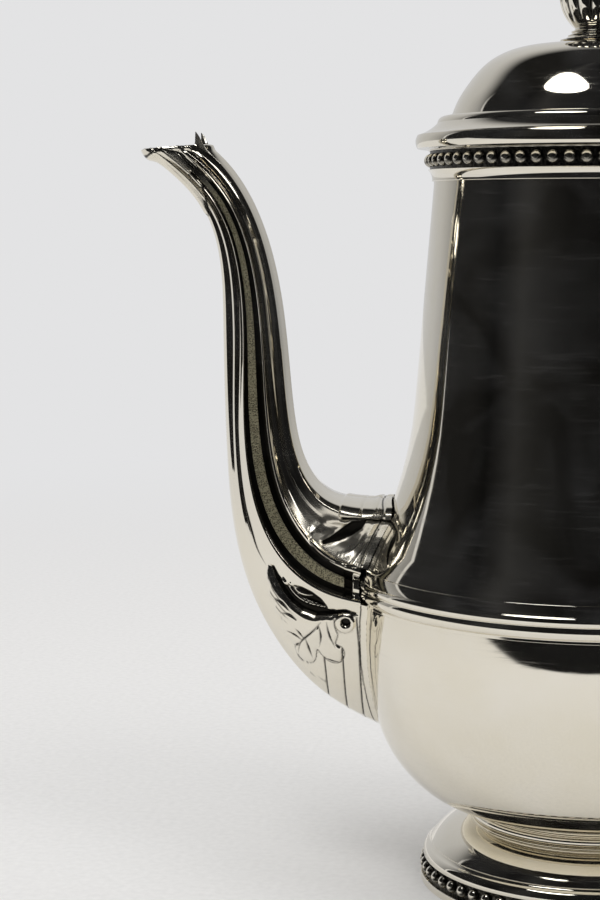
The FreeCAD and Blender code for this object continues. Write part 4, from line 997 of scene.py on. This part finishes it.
class POT_OT_lid(bpy.types.Operator):
    """Turn the lid's moulded edge, its dome and its fluted bud"""

    bl_idname = "pot.lid"
    bl_label = "Lid and finial"

    def execute(self, context):
        edge = turned("lid_edge", [
            (39.3, 189.5), (44.9, 189.5), (44.9, 192.9, 45.4, 191.2), (39.9, 195.9, 42.4, 193.9),
            (37.6, 197.5, 39.25, 197.2), (35.4, 197.5), (35.4, 196.5), (39.3, 192.9)], "lid_flange", body="lid")
        notch = bmesh.new()
        bmesh.ops.create_cube(notch, size=1.0, matrix=Matrix.Translation(Vector(NOTCH_MIDDLE) * MM)
                              @ Matrix.Diagonal((*Vector(NOTCH_SIZE) * MM, 1.0)))
        cut_away(edge, notch)
        turned("lid_crown", [
            *[tuple(corner) for corner in smooth_run(LID_OUTSIDE, 40)], (1.6, 215.5), (1.6, 214.5),
            (9.6, 214.5), (20.5, 213.2, 15.05, 214.2), (31.3, 205.3, "smooth"), (35.4, 197.5)],
            "lid_dome", body="lid")
        bud = turned("bud", [
            (0, 209.2), (1.5, 209.2), (1.5, 216.2), (9.2, 216.2), (9.2, 216.5), (7.3, 217.3, 8.1, 216.75),
            (7.3, 217.6), (6.3, 218.3, 6.65, 217.85), (6.3, 218.6, 6.5, 218.45), (5.6, 219.3, 5.8, 218.85),
            (9.5, 229.0, 8.96, 224.15), (1.6, 240.0, "smooth"), (0, 240.0)], "finial_knob", body="lid",
            material=chased_silver())
        spots = positions(bud)
        turn = np.arctan2(spots[:, 1], spots[:, 0])
        valley = (0.5 - 0.5 * np.cos(turn * context.scene.pot_shape.bud_flutes)) ** 2
        valley *= smoothstep(219.6, 222.0, spots[:, 2]) * smoothstep(239.0, 235.0, spots[:, 2])
        spots[:, :2] *= 1 - FLUTE_DEPTH * valley[:, None]
        bud.data.vertices.foreach_set("co", (spots * MM).ravel())
        store(bud, "oxide_and_painted_shade", 0.8 * valley ** 2)
        return {"FINISHED"}


class POT_OT_fittings(bpy.types.Operator):
    """Polish the handle, its sockets and pins, the hinge and the small lid pieces, and tint the insulators"""

    bl_idname = "pot.fittings"
    bl_label = "Handle and fittings"

    def execute(self, context):
        shown = [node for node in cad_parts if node.startswith(("handle_", "hinge_"))]
        shown += ["lid_bezel", "finial_plate", "finial_washer", "finial_nut"]
        for node in shown:
            material = plain_silver()
            if node.endswith("_insulator"):
                material = shared_material("ivory_fibre", ivory_fibre)
            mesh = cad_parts[node].data
            mesh.materials.clear()
            mesh.materials.append(material)
        return {"FINISHED"}


# Stage, in metres
FOCAL_PIXELS, PICTURE_PIXELS = 2045.24, 900  # the lens and the height of the picture, in pixels
SENSOR = 36.0
CAMERA_SPOT = (0, -0.527106, 0.1724)
CAMERA_DOWN, CAMERA_LEFT = 6.508, 8.139  # degrees
LAMP_AIM = (0, 0, 0.12)
PAPER_REACH = 4.0
PAPER_FADE = (0.28, 0.95)
# y in metres from which mirror rays see the paper in front of the pot painted dark, as a reflection of the unlit
# room
PAINTED_ROOM_EDGE = (-0.312, -0.328)
PAPER_FIBRE = 2 * MM
# The unlit room's brightness by bearing, from in front of the pot to behind it
ROOM = [(0.0, 0.006), (0.14, 0.010), (0.22, 0.018), (0.31, 0.032), (0.37, 0.015), (0.42, 0.006), (0.50, 0.014),
        (0.66, 0.016)]
ROOM_TURN = math.radians(-8)
# The backdrop's brightness by its width over twice its distance, and where it ends by its height over its distance
BACKDROP = [(0.0, 0.80), (0.4, 0.68), (0.7, 0.46), (0.87, 0.32), (0.885, 0.95), (0.955, 0.95), (0.97, 0.0)]
BACKDROP_TOP = (1.7, 0.7)


def lamp(name, power, width, height, spot):
    """A soft box aimed at the pot, which reflections can show and the camera can't."""
    data = bpy.data.lights.new(name, "AREA")
    data.shape = "ELLIPSE"
    data.size = width
    data.size_y = height
    data.energy = power
    item = bpy.data.objects.new(name, data)
    item.location = spot
    item.rotation_euler = (Vector(LAMP_AIM) - Vector(spot)).to_track_quat("-Z", "Y").to_euler()
    item.visible_camera = False
    bpy.context.collection.objects.link(item)


def paper_floor(stage):
    """Pale seamless paper: it keeps the pot's shadow, fades into the backdrop, and in front of the pot shows mirror
    rays a faint dark glow, a painted reflection of the unlit room.
    """
    material, tree, shader = new_material("seamless_paper")
    tree.nodes.remove(shader)
    coords = object_coords(tree)
    fibres = noise(tree, coords, 1 / PAPER_FIBRE, Detail=6.0)
    paper = ramp(tree, fibres, [(0.3, linear("#eae9e7")), (0.7, linear("#f1f0ee"))])
    matt = add_node(tree, "BsdfDiffuse", links={"Color": paper})
    reach = add_node(tree, "VectorMath", {"operation": "LENGTH"}, links={0: coords})
    fade = soft_range(tree, reach.outputs["Value"], *PAPER_FADE)
    place = add_node(tree, "SeparateXYZ", links={0: coords})
    edge = soft_range(tree, place.outputs["Y"], *PAINTED_ROOM_EDGE)
    path = add_node(tree, "LightPath")
    # painted reflection: to mirror rays the paper in front of the pot is a faint dark glow standing in for the unlit
    # room
    painted_room_share = maths(tree, "MULTIPLY", edge, path.outputs["Is Glossy Ray"])
    far, room = [add_node(tree, "Emission", values={"Color": stage.pale, "Strength": strength}).outputs[0]
                 for strength in (1.0, 0.012)]
    sweep = add_node(tree, "MixShader", links={0: fade, 1: matt.outputs[0], 2: far})
    mix = add_node(tree, "MixShader", links={0: painted_room_share, 1: sweep.outputs[0], 2: room})
    tree.links.new(mix.outputs[0], tree.nodes["Material Output"].inputs["Surface"])
    return material


def studio_world(stage):
    """A pale backdrop behind the pot, and an unlit room round it for the metal to mirror."""
    world = bpy.data.worlds.new("studio")
    world.use_nodes = True
    bpy.context.scene.world = world
    tree = world.node_tree
    direction = add_node(tree, "TexCoord").outputs["Generated"]
    turned_room = add_node(tree, "Mapping", values={"Rotation": (0, 0, ROOM_TURN)},
                           links={"Vector": direction})
    x, y, z = add_node(tree, "SeparateXYZ", links={0: turned_room.outputs["Vector"]}).outputs
    aside = maths(tree, "ABSOLUTE", x)
    away = maths(tree, "MAXIMUM", y, 0.001)
    bearing = maths(tree, "ARCTAN2", aside, maths(tree, "MULTIPLY", y, -1.0))
    room = ramp(tree, maths(tree, "DIVIDE", bearing, math.pi), ROOM)
    wide = ramp(tree, maths(tree, "DIVIDE", maths(tree, "DIVIDE", aside, away), 2.0), BACKDROP)
    tall = soft_range(tree, maths(tree, "DIVIDE", z, away), *BACKDROP_TOP)
    behind = maths(tree, "GREATER_THAN", y, 0.0)
    wall = maths(tree, "MULTIPLY", maths(tree, "MULTIPLY", wide, tall), behind)
    mirrored = maths(tree, "MAXIMUM", wall, room)
    path = add_node(tree, "LightPath")
    soft = add_node(tree, "Mix", values={2: 1.0}, links={0: path.outputs["Is Glossy Ray"], 3: mirrored})
    level = add_node(tree, "Mix", values={3: 1.0},
                     links={0: path.outputs["Is Camera Ray"], 2: soft.outputs[0]})
    background = tree.nodes["Background"]
    background.inputs["Color"].default_value = stage.pale
    tree.links.new(level.outputs[0], background.inputs["Strength"])


class POT_OT_stage(bpy.types.Operator):
    """Lay the paper, hang the lamps and set the camera"""

    bl_idname = "pot.stage"
    bl_label = "Stage"

    def execute(self, context):
        scene = context.scene
        stage = scene.pot_stage
        scene.view_settings.view_transform = "Standard"
        mesh = bpy.data.meshes.new("paper")
        bm = bmesh.new()
        bmesh.ops.create_grid(bm, x_segments=8, y_segments=8, size=PAPER_REACH)
        bm.to_mesh(mesh)
        bm.free()
        mesh.materials.append(paper_floor(stage))
        floor = bpy.data.objects.new("paper", mesh)
        context.collection.objects.link(floor)
        studio_world(stage)
        lamp("left_soft_box", stage.key, 0.56, 0.40, (-0.334, -0.398, 1.20))
        lamp("right_soft_box", stage.key * 0.85, 0.50, 0.50, (0.75, -0.45, 1.10))
        data = bpy.data.cameras.new("camera")
        data.sensor_fit = "VERTICAL"
        data.sensor_height = SENSOR
        data.lens = FOCAL_PIXELS * SENSOR / PICTURE_PIXELS
        data.clip_start = 0.01
        camera = bpy.data.objects.new("camera", data)
        camera.location = CAMERA_SPOT
        camera.rotation_euler = (math.radians(90 - CAMERA_DOWN), 0, math.radians(CAMERA_LEFT))
        context.collection.objects.link(camera)
        scene.camera = camera
        return {"FINISHED"}


class POT_PT_panel(bpy.types.Panel):
    """The pot's pieces in the sidebar"""

    bl_idname = "POT_PT_panel"
    bl_label = "Silver coffee pot"
    bl_space_type = "VIEW_3D"
    bl_region_type = "UI"
    bl_category = "Coffee pot"

    def draw(self, context):
        layout = self.layout
        for operator in OPERATORS:
            layout.operator(operator.bl_idname)
        for group in (context.scene.pot_finish, context.scene.pot_shape, context.scene.pot_stage):
            box = layout.box()
            for name in group.__annotations__:
                box.prop(group, name)


GROUPS = {"pot_finish": PotFinish, "pot_shape": PotShape, "pot_stage": PotStage}
OPERATORS = (POT_OT_stage, POT_OT_foot, POT_OT_body, POT_OT_beads, POT_OT_spout, POT_OT_lid, POT_OT_fittings)


def register():
    for name, group in GROUPS.items():
        bpy.utils.register_class(group)
        setattr(bpy.types.Scene, name, PointerProperty(type=group))
    for item in OPERATORS + (POT_PT_panel,):
        bpy.utils.register_class(item)


def unregister():
    for item in (POT_PT_panel,) + OPERATORS[::-1]:
        bpy.utils.unregister_class(item)
    for name, group in GROUPS.items():
        delattr(bpy.types.Scene, name)
        bpy.utils.unregister_class(group)


def main():
    register()
    bpy.ops.pot.stage()
    bpy.ops.pot.foot()
    bpy.ops.pot.body()
    bpy.ops.pot.beads()
    bpy.ops.pot.spout()
    bpy.ops.pot.lid()
    bpy.ops.pot.fittings()


if __name__ == "__main__":
    main()
